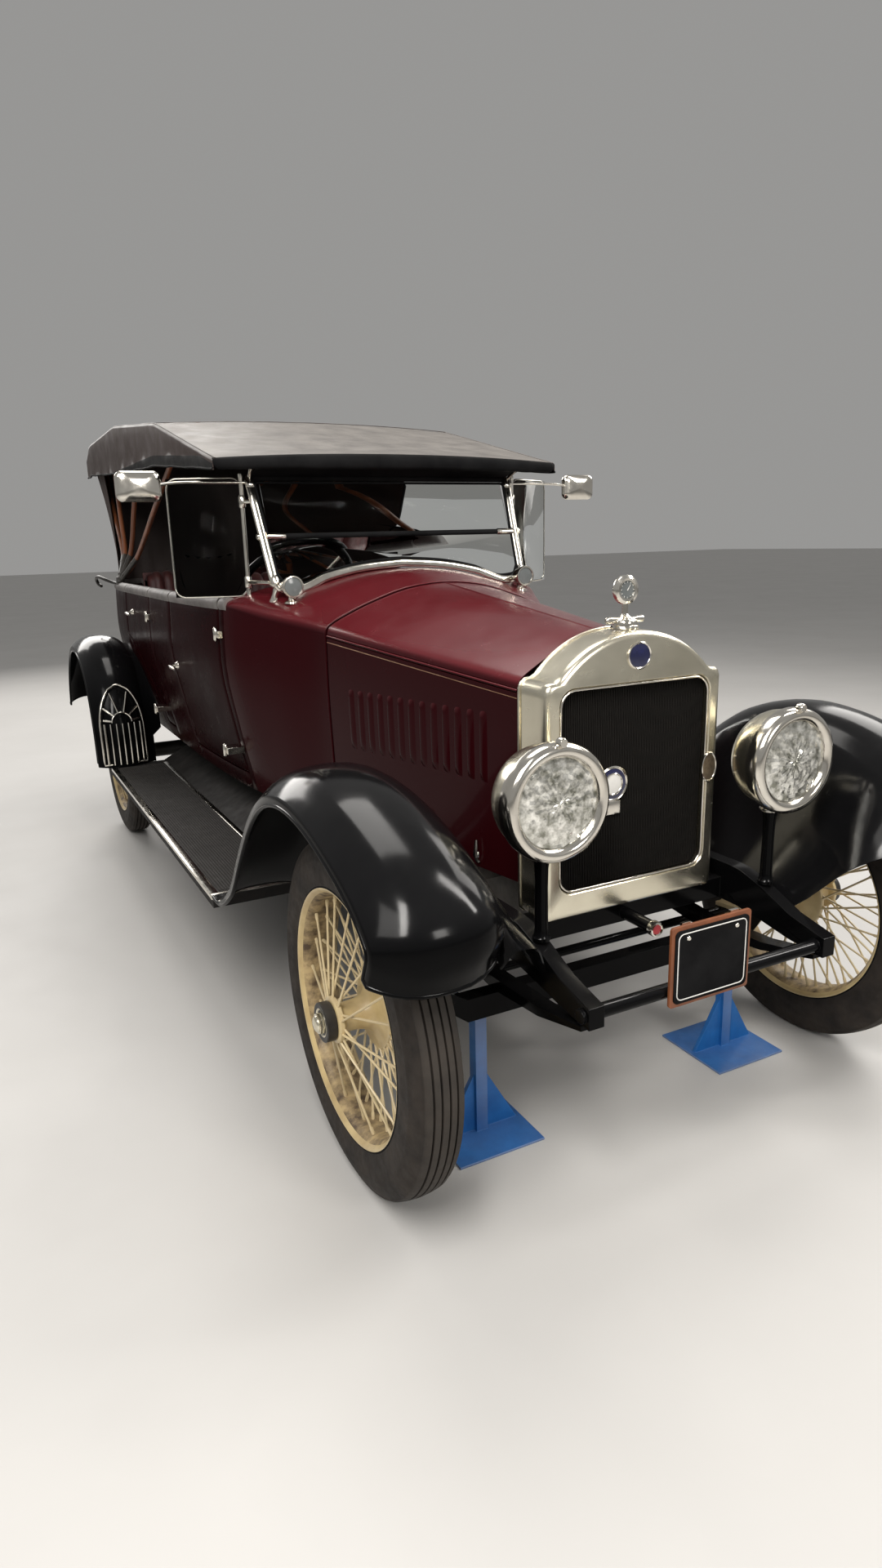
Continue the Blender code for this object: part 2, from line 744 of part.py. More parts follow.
def knuckle(side):
    """A fork round the axle's boss with its stub axle and steering arm."""
    name = side_name(side)
    near = KINGPIN_X - BOSS_RADIUS
    wall = KINGPIN_X + BOSS_RADIUS + RUN_GAP
    far = wall + KNUCKLE_PLATE
    inner = BOSS_HALF + SEAT_GAP * 2
    outer = inner + KNUCKLE_PLATE
    corners = (
        (near, outer),
        (far, outer),
        (far, -outer),
        (near, -outer),
        (near, -inner),
        (wall, -inner),
        (wall, inner),
        (near, inner),
    )
    outline = [(side * x, TYRE_RADIUS + z) for x, z in corners]
    fork = plate(f"knuckle_{name}", "XZ", outline, -BOSS_RADIUS, BOSS_RADIUS, CREAM)
    stub_start = (side * (wall + KNUCKLE_PLATE / 2), 0, TYRE_RADIUS)
    stub_end = (side * (TRACK / 2 + HUB_INNER_Y - SEAT_GAP), 0, TYRE_RADIUS)
    stub = rod(f"stub_{name}", stub_start, stub_end, STUB_RADIUS)
    arm_low = TIE_ROD_Z + TIE_ROD_RADIUS + SEAT_GAP
    tip = ARM_LEAN / STEERING_ARM * (STEERING_ARM + ARM_HALF)
    shape = (
        (KINGPIN_X - ARM_HALF, -ARM_HALF),
        (KINGPIN_X + ARM_HALF, -ARM_HALF),
        (KINGPIN_X + ARM_HALF - tip, STEERING_ARM + ARM_HALF),
        (KINGPIN_X - ARM_HALF - tip, STEERING_ARM + ARM_HALF),
    )
    arm = plate(f"arm_{name}", "XY", [(side * x, y) for x, y in shape], arm_low, arm_low + ARM_THICK)
    post_low = (side * KINGPIN_X, 0, arm_low + ARM_THICK / 2)
    post_high = (side * KINGPIN_X, 0, TYRE_RADIUS - inner - KNUCKLE_PLATE / 2)
    return fuse(fork, stub, arm, rod(f"arm_post_{name}", post_low, post_high, PIN_RADIUS))


ARM_THICK = 0.012
ARM_HALF = 0.016
ARM_LEAN = 0.03
for side in SIDES:
    knuckle(side)


def tie_rod():
    """The rod across the car behind the axle, under the ends of the two steering arms."""
    reach = KINGPIN_X - ARM_LEAN
    ends = [(side * (reach + ARM_HALF), STEERING_ARM, TIE_ROD_Z) for side in SIDES]
    return rod("tie_rod", ends[0], ends[1], TIE_ROD_RADIUS, BLACK)


tie_rod()


def along_column(distance):
    """A point on the steering column's line, the given distance below the wheel's hub."""
    drop = Vector((0, -math.cos(COLUMN_RAKE), -math.sin(COLUMN_RAKE)))
    return Vector((COLUMN_X, WHEEL_HUB_Y, WHEEL_HUB_Z)) + drop * distance


COLUMN_RADIUS = 0.02
GEAR_Z = RAIL_TOP - RAIL_DEPTH / 2
COLUMN_LENGTH = (WHEEL_HUB_Z - GEAR_Z) / math.sin(COLUMN_RAKE)
RIM_TUBE = 0.014
SPIDER_RADIUS = 0.009
HUB_HALF = 0.02
HUB_WIDE = 0.032


def steering():
    """Column with its box at the foot, and a four-spoke wheel at its head."""
    head = along_column(HUB_HALF + SEAT_GAP)
    foot = along_column(COLUMN_LENGTH)
    column = rod("steering_column", head, foot, COLUMN_RADIUS, BLACK)
    gear = box(
        "steering_gear",
        (-(RAIL_X - RAIL_WIDTH / 2 - SEAT_GAP), foot.y - GEAR_HALF, foot.z - GEAR_HALF),
        (COLUMN_X + COLUMN_RADIUS * 2, foot.y + GEAR_HALF, foot.z + GEAR_HALF),
    )
    fuse(column, gear)
    centre = along_column(0.0)
    axis = (along_column(0.0) - along_column(COLUMN_LENGTH)).normalized()
    ring = [
        (
            STEERING_WHEEL_RADIUS + RIM_TUBE * math.cos(2 * PI * i / RIM_SIDES),
            -RIM_TUBE * math.sin(2 * PI * i / RIM_SIDES),
        )
        for i in range(RIM_SIDES)
    ]
    wheel = turned("steering_wheel", ring, centre, axis, BLACK, steps=24)
    others = [rod("spider_hub", centre - axis * HUB_HALF, centre + axis * HUB_HALF, HUB_WIDE)]
    across = Vector((1, 0, 0))
    up = axis.cross(across)
    for i in range(2):
        turn = PI / 4 + i * PI / 2
        arm = (across * math.cos(turn) + up * math.sin(turn)) * STEERING_WHEEL_RADIUS
        others.append(rod(f"spider_arm_{i}", centre - arm, centre + arm, SPIDER_RADIUS, sides=6))
    return fuse(wheel, *others)


GEAR_HALF = 0.05
RIM_SIDES = 5
steering()


# Rear axle, driveline, engine, exhaust and tank

BANJO_RADIUS = 0.15
BANJO_HALF = 0.085
AXLE_TUBE = 0.038


def rear_axle():
    """A banjo housing with its tubes out to the drums and the rear springs over them."""
    reach = TRACK / 2 + HUB_INNER_Y - SEAT_GAP
    ends = [(way * reach, WHEELBASE, TYRE_RADIUS) for way in SIDES]
    axle = rod("rear_axle", ends[0], ends[1], AXLE_TUBE, BLACK)
    banjo = turned(
        "banjo",
        (
            (0.0, BANJO_HALF),
            (BANJO_RADIUS * 0.7, BANJO_HALF),
            (BANJO_RADIUS, 0.0),
            (BANJO_RADIUS * 0.7, -BANJO_HALF),
            (0.0, -BANJO_HALF),
        ),
        (0, WHEELBASE, TYRE_RADIUS),
        (0, 1, 0),
        guide=True,
        steps=16,
    )
    others = [banjo]
    for side in SIDES:
        others.append(
            spring(
                f"rear_spring_{side_name(side)}",
                side,
                WHEELBASE,
                WHEELBASE - REAR_SPRING_HALF,
                WHEELBASE + REAR_SPRING_HALF * REAR_EYE_SHARE,
                RAIL_TOP - RAIL_DEPTH - SEAT_GAP,
                RAIL_TOP - RAIL_DEPTH - SEAT_GAP,
                TYRE_RADIUS + AXLE_TUBE + SPRING_THICK / 2,
            )
        )
    return fuse(axle, *others)


REAR_SPRING_HALF = 0.56
REAR_EYE_SHARE = 0.8
rear_axle()

ENGINE_HALF = 0.17
ENGINE_FRONT_Y = 0.14
ENGINE_REAR_Y = 0.84
ENGINE_DROP = 0.20
ENGINE_LOW_Z = RAIL_TOP - ENGINE_DROP
ENGINE_TOP_Z = 1.0
BEARER_HALF = 0.02
SHAFT_RADIUS = 0.036
GEARBOX_HALF = 0.12
GEARBOX_REAR_Y = 1.40
GEARBOX_DROP = 0.22
GEARBOX_LOW_Z = RAIL_TOP - GEARBOX_DROP


def driveline():
    """The engine as a plain block, the gearbox and the torque tube to the rear axle."""
    block = box(
        "engine_block",
        (-ENGINE_HALF, ENGINE_FRONT_Y, ENGINE_LOW_Z),
        (ENGINE_HALF, ENGINE_REAR_Y, ENGINE_TOP_Z),
        CAST,
    )
    reach = RAIL_X - RAIL_WIDTH / 2 - SEAT_GAP
    for i, share in enumerate((0.2, 0.66)):
        y = mix(ENGINE_FRONT_Y, ENGINE_REAR_Y, share)
        bearer = box(
            f"engine_bearer_{i}",
            (-reach, y - BEARER_HALF, RAIL_TOP - BEARER_HALF * 2 - RUN_GAP / 4),
            (reach, y + BEARER_HALF, RAIL_TOP - RUN_GAP / 4),
        )
        fuse(block, bearer)
    gearbox = box(
        "gearbox",
        (-GEARBOX_HALF, ENGINE_REAR_Y + SEAT_GAP, GEARBOX_LOW_Z),
        (GEARBOX_HALF, GEARBOX_REAR_Y, RAIL_TOP - RAIL_DEPTH - SEAT_GAP),
        CAST,
    )
    shaft_end = WHEELBASE - BANJO_HALF - SEAT_GAP * 3
    shaft = rod(
        "torque_tube",
        (0, GEARBOX_REAR_Y - OVERRUN, TYRE_RADIUS + SHAFT_RADIUS / 2),
        (0, shaft_end, TYRE_RADIUS),
        SHAFT_RADIUS,
    )
    return fuse(gearbox, shaft)


driveline()

EXHAUST_X = 0.24
EXHAUST_DROP = 0.17
EXHAUST_Z = RAIL_TOP - EXHAUST_DROP
PIPE_RADIUS = 0.022
SILENCER_RADIUS = 0.06
# where the silencer starts and ends, as shares of the wheelbase
SILENCER_SHARES = (0.52, 0.74)


def exhaust():
    """Down pipe, silencer and tail pipe along the left of the torque tube."""
    pipe = tube(
        "exhaust",
        (
            (ENGINE_HALF + PIPE_RADIUS + SEAT_GAP, ENGINE_REAR_Y * 0.85, ENGINE_TOP_Z * 0.8),
            (EXHAUST_X, ENGINE_REAR_Y * 0.9, RAIL_TOP),
            (EXHAUST_X, ENGINE_REAR_Y + OVERRUN, EXHAUST_Z),
            (EXHAUST_X, WHEELBASE * 0.85, EXHAUST_Z),
        ),
        PIPE_RADIUS,
        CAST,
    )
    silencer = rod(
        "silencer",
        (EXHAUST_X, WHEELBASE * SILENCER_SHARES[0], EXHAUST_Z),
        (EXHAUST_X, WHEELBASE * SILENCER_SHARES[1], EXHAUST_Z),
        SILENCER_RADIUS,
        sides=14,
    )
    face_y, face_z = ENGINE_REAR_Y * 0.85, ENGINE_TOP_Z * 0.8
    manifold = box(
        "manifold",
        (ENGINE_HALF + SEAT_GAP, ENGINE_FRONT_Y + OVERRUN, face_z - PIPE_RADIUS),
        (ENGINE_HALF + PIPE_RADIUS, face_y + PIPE_RADIUS, face_z + PIPE_RADIUS * 1.2),
    )
    return fuse(pipe, silencer, manifold)


exhaust()

TANK_RADIUS = 0.125
TANK_HALF = 0.29
TANK_Y = RAIL_END_Y - CROSS_WIDTH - TANK_RADIUS - OVERRUN


def fuel_tank():
    """A cylinder across the frame, held by a bar that reaches the two rails."""
    middle = RAIL_TOP - TANK_RADIUS - TANK_SAG
    ends = [(way * TANK_HALF, TANK_Y, middle) for way in SIDES]
    tank = rod("fuel_tank", ends[0], ends[1], TANK_RADIUS, BLACK, sides=18)
    reach = RAIL_X - RAIL_WIDTH / 2 - SEAT_GAP
    low = RAIL_TOP - RAIL_DEPTH * 0.7
    bar = box(
        "tank_bar",
        (-reach, TANK_Y - BEARER_HALF, low),
        (reach, TANK_Y + BEARER_HALF, low + BEARER_HALF * 2),
    )
    return fuse(tank, bar)


TANK_SAG = 0.01
fuel_tank()


# Radiator


def arc(centre, radius, start, end, count):
    """Points round part of a circle, angles in degrees."""
    return [
        (
            centre[0] + radius * math.cos(math.radians(mix(start, end, i / count))),
            centre[1] + radius * math.sin(math.radians(mix(start, end, i / count))),
        )
        for i in range(count + 1)
    ]


SHOULDER_ROUND = 0.022


def radiator_outline():
    """Front view of the shell: flat foot, upright sides, square shoulders and an arched top."""
    half = RADIATOR_HALF
    rise = RADIATOR_TOP_Z - SHOULDER_Z
    arch_half = half * 0.86
    radius = (arch_half**2 + rise**2) / (2 * rise)
    sweep = math.degrees(math.asin(arch_half / radius))
    arch = arc((0.0, RADIATOR_TOP_Z - radius), radius, 90 - sweep, 90 + sweep, 10)
    right = arc((half - SHOULDER_ROUND, SHOULDER_Z - SHOULDER_ROUND), SHOULDER_ROUND, 0, 80, 2)
    left = [(-x, z) for x, z in reversed(right)]
    return [(half, RADIATOR_BOTTOM_Z)] + right + arch + left + [(-half, RADIATOR_BOTTOM_Z)]


def round_box(half, low, high, corner, count=3):
    """A rectangle with four rounded corners, centred on x = 0."""
    return (
        arc((half - corner, low + corner), corner, -90, 0, count)
        + arc((half - corner, high - corner), corner, 0, 90, count)
        + arc((-half + corner, high - corner), corner, 90, 180, count)
        + arc((-half + corner, low + corner), corner, 180, 270, count)
    )


def radiator():
    """A nickel shell round a core that sits a little behind its front edge."""
    back = RADIATOR_FRONT_Y + RADIATOR_DEPTH
    foot = box(
        "radiator_relief",
        (-RAIL_X, RADIATOR_FRONT_Y - OVERRUN, RADIATOR_BOTTOM_Z - OVERRUN),
        (RAIL_X, back + OVERRUN, RAIL_TOP - RAIL_DEPTH + CROSS_DEPTH * 0.6 + SEAT_GAP),
        guide=True,
    )
    shell = plate("radiator_shell", "XZ", radiator_outline(), RADIATOR_FRONT_Y, back, NICKEL)
    hole = plate(
        "radiator_hole",
        "XZ",
        round_box(CORE_HALF, CORE_BOTTOM_Z, CORE_TOP_Z, CORE_CORNER),
        RADIATOR_FRONT_Y - OVERRUN,
        back + OVERRUN,
        guide=True,
    )
    cut(shell, hole, foot)
    plate(
        "radiator_core",
        "XZ",
        round_box(CORE_HALF - SEAT_GAP, CORE_BOTTOM_Z + SEAT_GAP, CORE_TOP_Z - SEAT_GAP, CORE_CORNER),
        RADIATOR_FRONT_Y + CORE_RECESS,
        back,
        BLACK,
    )
    return shell


CORE_RECESS = 0.022

CAP_Y = RADIATOR_FRONT_Y + RADIATOR_DEPTH * 0.48
NECK_RADIUS = 0.028
METER_Z = 1.333
METER_RADIUS = 0.034
METER_HALF = 0.009
CROSSBAR_HALF = 0.055
CROSSBAR_RADIUS = 0.006


def radiator_cap():
    """Filler cap with its cross handle and the round thermometer above it."""
    seat = RADIATOR_TOP_Z - CAP_SINK
    neck = turned(
        "radiator_cap",
        (
            (0.0, METER_Z),
            (CROSSBAR_RADIUS, METER_Z),
            (CROSSBAR_RADIUS, seat + NECK_RADIUS),
            (NECK_RADIUS * 0.8, seat + NECK_RADIUS * 0.8),
            (NECK_RADIUS, seat + NECK_RADIUS * 0.3),
            (NECK_RADIUS * 0.8, seat),
            (0.0, seat),
        ),
        (0, CAP_Y, 0),
        (0, 0, 1),
        steps=14,
    )
    bar_z = seat + NECK_RADIUS
    ends = [(way * CROSSBAR_HALF, CAP_Y, bar_z) for way in SIDES]
    bar = rod("crossbar", ends[0], ends[1], CROSSBAR_RADIUS, sides=8)
    faces = [(0, CAP_Y + way * METER_HALF, METER_Z) for way in SIDES]
    meter = rod("meter", faces[0], faces[1], METER_RADIUS, sides=20)
    return fuse(neck, bar, meter)


def crown_line(y):
    """A point on the bonnet's centre hinge, in the middle of the sheet's thickness."""
    share = (y - BONNET_FRONT_Y) / (BONNET_REAR_Y - BONNET_FRONT_Y)
    return (0.0, y, mix(CROWN_FRONT_Z, CROWN_REAR_Z, share) - BONNET_SHEET / 2)


CAP_SINK = 0.006
HINGE_SIDES = 8
hinge_rod = rod(
    "bonnet_hinge_rod",
    crown_line(RADIATOR_FRONT_Y + RADIATOR_DEPTH * 0.8),
    crown_line(BONNET_REAR_Y - SEAT_GAP * 3),
    HINGE_ROD,
    sides=HINGE_SIDES,
)
fuse(radiator(), radiator_cap(), hinge_rod)


# Bonnet: two top leaves hinged on the crown, each with a side leaf on its crease


def bonnet_rows(points_at):
    ends = (BONNET_FRONT_Y, BONNET_REAR_Y - RUN_GAP)
    steps = 3
    return [[(x, y, z) for x, z in points_at(y)] for y in (mix(*ends, i / steps) for i in range(steps + 1))]


LEAF_GAP = 0.003


def crease_line(y, side):
    """A point on the hinge between a top leaf and its side leaf."""
    half, crease, crown, tuck = table_at(BODY_STATIONS, y)
    skin = half * mix(1.0, SIDE_SHARES[-1][1], tuck)
    return (side * (skin - BONNET_SHEET / 2), y, crease - HINGE_ROD)


def bonnet(side):
    """The top leaf's arch and the side leaf's flat panel, hinged together along the crease."""

    def top_points(y):
        skin = abs(crease_line(y, side)[0]) + BONNET_SHEET / 3
        crease = table_at(BODY_STATIONS, y)[1]
        points = arch_points(y, 0.0)
        middle = (LEAF_GAP / 2, points[-1][1])
        outline = [(skin, crease - BONNET_SHEET / 3)] + points[:-1] + [middle]
        return [(side * x, z) for x, z in outline]

    def panel_points(y):
        top_z = crease_line(y, side)[2]
        return [(side * x, z) for x, z in side_points(y, BONNET_BOTTOM_Z, top_z, 0.0)]

    def hinge(name, line, radius, reach=0.0):
        start, end = Vector(line(BONNET_FRONT_Y)), Vector(line(BONNET_REAR_Y - RUN_GAP))
        more = (end - start).normalized() * reach
        return rod(name, start - more, end + more, radius, guide=True, sides=HINGE_SIDES)

    name = side_name(side)
    leaf = sheet(f"bonnet_top_{name}", bonnet_rows(top_points), BONNET_SHEET, MAROON)
    panel = sheet(f"bonnet_side_{name}", bonnet_rows(panel_points), BONNET_SHEET, MAROON)
    fuse(panel, hinge(f"crease_rod_{name}", lambda y: crease_line(y, side), HINGE_ROD))
    clear = (HINGE_ROD + SEAT_GAP) / math.cos(PI / HINGE_SIDES)
    cut(
        leaf,
        hinge(f"crease_relief_{name}", lambda y: crease_line(y, side), clear, OVERRUN),
        hinge(f"crown_relief_{name}", crown_line, clear, OVERRUN),
    )
    smooth(leaf)
    smooth(panel)


for side in SIDES:
    bonnet(side)


# Scuttle, tub and doors


def span(start, end, *more):
    """The stations between two places along the body, both ends included."""
    inside = [row[0] for row in BODY_STATIONS if start < row[0] < end]
    return [start] + sorted(inside + list(more)) + [end]


def scuttle():
    """The cowl behind the bonnet: an arched shell with the bulkhead across its front."""
    skin = [hull_ring(y, BODY_BOTTOM_Z, 0.0) for y in span(BONNET_REAR_Y, SCUTTLE_REAR_Y)]
    outer = loft("scuttle", skin, MAROON)
    start = BONNET_REAR_Y + BODY_WALL * 0.75
    end = SCUTTLE_REAR_Y + OVERRUN
    rows = []
    for y in span(start, end, DASH_Y, DASH_Y + DASH_THICK):
        ring = hull_ring(min(y, SCUTTLE_REAR_Y), BODY_BOTTOM_Z + FLOOR_THICK, BODY_WALL * 0.75)
        rows.append([(x, y, z) for x, _, z in ring])
    inner = loft("scuttle_inside", rows, guide=True)
    hole = rod(
        "column_hole",
        along_column(COLUMN_LENGTH * 0.5),
        along_column(COLUMN_LENGTH + OVERRUN),
        COLUMN_RADIUS + SEAT_GAP,
        guide=True,
    )
    return smooth(cut(outer, inner, hole))


DASH_Y = 1.27
DASH_THICK = 0.02
scuttle()

DASH_LOW_Z = 1.10


def dashboard():
    """The instrument board across the inside of the scuttle."""
    ring = hull_ring(DASH_Y, DASH_LOW_Z, BODY_WALL * 0.75 + SEAT_GAP * 3)
    kept = [(x, max(z, DASH_LOW_Z)) for x, _, z in ring]
    outline = [p for i, p in enumerate(kept) if p not in kept[:i]]
    widest = [p for p in outline if p[1] > DASH_LOW_Z]
    foot_half = max(x for x, z in widest) * 0.985
    outline = [(foot_half, DASH_LOW_Z)] + widest + [(-foot_half, DASH_LOW_Z)]
    return plate("dashboard", "XZ", outline, DASH_Y, DASH_Y + DASH_THICK, WOOD)


dashboard()

TUB_FRONT_Y = SCUTTLE_REAR_Y + SEAT_GAP


def tub_shell(name, inset, low, high, start, end, finish=None, guide=False):
    rings = []
    for y in span(start, end):
        seen = min(max(y, TUB_FRONT_Y), TUB_REAR_Y)
        ring = hull_ring(seen, low, inset, high)
        rings.append([(x, y, z) for x, _, z in ring])
    return loft(name, rings, finish, guide)


def door_edges():
    """(name, start y, width) of the two doors of a side."""
    return (("front", FRONT_DOOR_Y, FRONT_DOOR_WIDTH), ("rear", REAR_DOOR_Y, REAR_DOOR_WIDTH))


def skin_x(y, z):
    """Half width of the body's outer surface at one station and height."""
    half, crease, crown, tuck = table_at(BODY_STATIONS, y)
    height = (z - BODY_BOTTOM_Z) / (crease - BODY_BOTTOM_Z)
    return half * mix(1.0, table_at(SIDE_SHARES, height)[0], tuck)


HINGE_RADIUS = 0.008
HINGE_HALF = 0.02
HINGE_LEAF = 0.03
HINGE_PROUD = 0.003
HINGE_SHARES = (0.16, 0.84)


def door_axis(start):
    """(x, y) of a door's hinge line, just outside the widest part of its front edge."""
    y = start + DOOR_GAP / 2
    return table_at(BODY_STATIONS, y)[0] + HINGE_RADIUS + HINGE_PROUD, y


def hinge_halves(side, name, start):
    """Barrel and leaf pieces of a door's two hinges: (pieces of the body, pieces of the door)."""
    x, y = door_axis(start)
    fixed, moving = [], []
    for i, share in enumerate(HINGE_SHARES):
        z = mix(DOOR_BOTTOM_Z, BELT_Z, share)
        inner = skin_x(y, z) - BODY_WALL / 3
        for pieces, way in ((fixed, -1), (moving, 1)):
            near = z + way * SEAT_GAP / 2
            far = z + way * HINGE_HALF
            tag = f"{name}_{i}_{way}"
            ends = [(side * x, y, height) for height in (near, far)]
            barrel = rod(f"barrel_{tag}", ends[0], ends[1], HINGE_RADIUS, guide=True, sides=8)
            low, high = sorted((side * inner, side * x))
            span_z = sorted((mix(near, far, 0.12), mix(near, far, 0.88)))
            span_y = sorted((y, y + way * HINGE_LEAF))
            corners = [(x_at, y_at, z_at) for x_at, y_at, z_at in zip((low, high), span_y, span_z)]
            leaf = box(f"leaf_{tag}", corners[0], corners[1], guide=True)
            pieces += [barrel, leaf]
    return fixed, moving


def arch_cutter(name, grow, side):
    """The round of the rear fender, which trims the rear door and its opening."""
    reach = BODY_HALF + OVERRUN
    inner = BODY_HALF * 0.7
    low, high = sorted((side * inner, side * reach))
    wheel = (0.0, WHEELBASE, TYRE_RADIUS)
    return rod(
        name,
        (low, wheel[1], wheel[2]),
        (high, wheel[1], wheel[2]),
        ARCH_RADIUS + grow,
        guide=True,
        sides=32,
    )


ARCH_CLEAR = 0.237
ARCH_RADIUS = TYRE_RADIUS + ARCH_CLEAR
ARCH_GAP = DOOR_GAP * 1.5
ARCH_REBATE = 0.032
DOOR_SKIN = 0.012


def tub():
    """Floor, sides and rounded back in one shell, with four door openings cut through."""
    body = tub_shell("body_tub", 0.0, BODY_BOTTOM_Z, BELT_Z, TUB_FRONT_Y, TUB_REAR_Y, MAROON)
    inside = tub_shell(
        "tub_inside",
        BODY_WALL,
        BODY_BOTTOM_Z + FLOOR_THICK,
        BELT_Z + OVERRUN,
        TUB_FRONT_Y - OVERRUN,
        TUB_REAR_Y - BODY_WALL,
        guide=True,
    )
    cut(body, inside)
    for side in SIDES:
        for end, start, width in door_edges():
            low, high = sorted((side * BODY_HALF * 0.6, side * (BODY_HALF + OVERRUN)))
            opening = box(
                f"opening_{end}_{side_name(side)}",
                (low, start, DOOR_BOTTOM_Z),
                (high, start + width, BELT_Z + OVERRUN),
                guide=True,
            )
            if end == "rear":
                cut(opening, arch_cutter(f"opening_arch_{side_name(side)}", 0.0, side))
            cut(body, opening)
            fuse(body, *hinge_halves(side, f"body_{end}_{side_name(side)}", start)[0])
    carrier = rod(
        "spare_carrier",
        (0, TUB_REAR_Y - BODY_WALL / 2, SPARE_Z),
        (0, SPARE_Y + HUB_INNER_Y - SEAT_GAP, SPARE_Z),
        INNER_FLANGE_RADIUS * 0.8,
    )
    return smooth(fuse(body, carrier))


tub()


def door(side, end, start, width):
    """One door as thick as the wall, smaller than its opening by the running gap."""
    name = f"door_{end}_{side_name(side)}"
    panel = tub_shell(name, 0.0, BODY_BOTTOM_Z, BELT_Z, start - OVERRUN, start + width + OVERRUN, MAROON)
    inside = tub_shell(
        name + "_inside",
        BODY_WALL,
        BODY_BOTTOM_Z - OVERRUN,
        BELT_Z + OVERRUN,
        start - OVERRUN * 2,
        start + width + OVERRUN * 2,
        guide=True,
    )
    low, high = sorted((side * BODY_HALF * 0.6, side * (BODY_HALF + OVERRUN)))
    frame = box(
        name + "_edge",
        (low, start + DOOR_GAP, DOOR_BOTTOM_Z + DOOR_GAP),
        (high, start + width - DOOR_GAP, BELT_Z + OVERRUN),
        guide=True,
    )
    if end == "rear":
        cut(frame, arch_cutter(name + "_arch", ARCH_GAP, side))
        top_z = BELT_Z + OVERRUN
        core = tub_shell(name + "_core", DOOR_SKIN, BODY_BOTTOM_Z, top_z, start, start + width, guide=True)
        cut(panel, keep(core, arch_cutter(name + "_rebate", ARCH_GAP + ARCH_REBATE, side)))
    keep(cut(panel, inside), frame)
    return smooth(fuse(panel, *hinge_halves(side, name, start)[1]))


for side in SIDES:
    for end, start, width in door_edges():
        door(side, end, start, width)


# Seats

SEAT_INSET = 0.05
SEAT_HALF = BODY_HALF - BODY_WALL - SEAT_INSET
CUSHION_TOP_Z = 0.98
CUSHION_DEPTH = 0.50
SEAT_BACK_THICK = 0.14
SEAT_BACK_TOP_Z = 1.33
CUSHION_ROUND = 0.03
FRONT_SEAT_Y = 1.90
REAR_SEAT_Y = 3.04


def bench(name, y, half, back_top):
    """A full-width seat: base and cushion with its raked back, in one soft solid."""
    floor = BODY_BOTTOM_Z + FLOOR_THICK + SEAT_GAP
    rear = y + CUSHION_DEPTH
    lean = SEAT_BACK_THICK * 0.5
    outline = (
        (y + lean / 2, floor),
        (y, CUSHION_TOP_Z - CUSHION_ROUND),
        (y + CUSHION_ROUND, CUSHION_TOP_Z),
        (rear, CUSHION_TOP_Z - CUSHION_ROUND),
        (rear + lean, back_top - CUSHION_ROUND),
        (rear + lean + CUSHION_ROUND, back_top),
        (rear + lean + SEAT_BACK_THICK * 0.7, back_top - CUSHION_ROUND),
        (rear + SEAT_BACK_THICK, CUSHION_TOP_Z),
        (rear + SEAT_BACK_THICK, floor),
    )
    return plate(name, "YZ", outline, -half, half, LEATHER)


bench("seat_front", FRONT_SEAT_Y, SEAT_HALF * 0.89, SEAT_BACK_TOP_Z)
bench("seat_rear", REAR_SEAT_Y, SEAT_HALF * 0.78, SEAT_BACK_TOP_Z)


# Fenders and running boards

# columns, as shares: reach from the nose to the running board, height of the crown line and of
# the apron's foot from the board to the top, and reach of that foot from the fender to the rail
FRONT_FENDER_SHARES = (
    (0.0227, 0.404, 0.385, 0.04),
    (0.0013, 0.536, 0.451, 0.08),
    (0.015, 0.667, 0.451, 0.23),
    (0.082, 0.799, 0.357, 0.60),
    (0.184, 0.906, 0.122, 1.0),
    (0.310, 0.987, 0.207, 1.0),
    (0.435, 1.0, 0.207, 1.0),
    (0.549, 0.930, 0.207, 1.0),
    (0.647, 0.782, 0.207, 1.0),
    (0.741, 0.560, 0.207, 1.0),
    (0.835, 0.305, 0.207, 1.0),
    (0.922, 0.109, 0.207, 1.0),
    (0.994, 0.022, 0.207, 1.0),
)
# columns, as shares: reach ahead of (negative) or behind the rear axle, height of the crown line
# from the running board to the top, and reach of the inner flange into the body's side
REAR_FENDER_SHARES = (
    (-1.0, -0.03, 0.0),
    (-0.97, 0.29, 0.0),
    (-0.86, 0.589, 1.0),
    (-0.64, 0.819, 1.0),
    (-0.33, 0.959, 1.0),
    (0.026, 1.0, 1.0),
    (0.339, 0.956, 1.0),
    (0.626, 0.811, 1.0),
    (0.852, 0.597, 0.0),
    (1.0, 0.350, 0.0),
)
# shares of the half width across a fender, from its outer lip to its inner edge
CROSS_SHARES = (1.0, 0.95, 0.68, 0.25, -0.25, -0.68, -1.0)


def fender_rows(spine, inner_x, outer_x, side, feet):
    """Rows of points across a fender: crowned square to its spine, with a lip on the outside."""
    rows = []
    middle = (inner_x + outer_x) / 2
    half = (outer_x - inner_x) / 2
    for i, (y, z) in enumerate(spine):
        before = Vector(spine[max(i - 1, 0)])
        after = Vector(spine[min(i + 1, len(spine) - 1)])
        run = (after - before).normalized()
        inward = Vector((run.y, -run.x))
        row = []
        for share in CROSS_SHARES:
            drop = FENDER_CROWN * abs(share) ** 2.6
            row.append((side * (middle + half * share), y + inward.x * drop, z + inward.y * drop))
        row[0] = (row[0][0], row[0][1] + inward.x * LIP_DROP, row[0][2] + inward.y * LIP_DROP)
        foot_x, foot_z = feet[i]
        row.append((side * foot_x, row[-1][1], row[-1][2] if foot_z is None else foot_z))
        rows.append(row)
    return rows


LIP_DROP = 0.02
FLANGE_REACH = 0.09


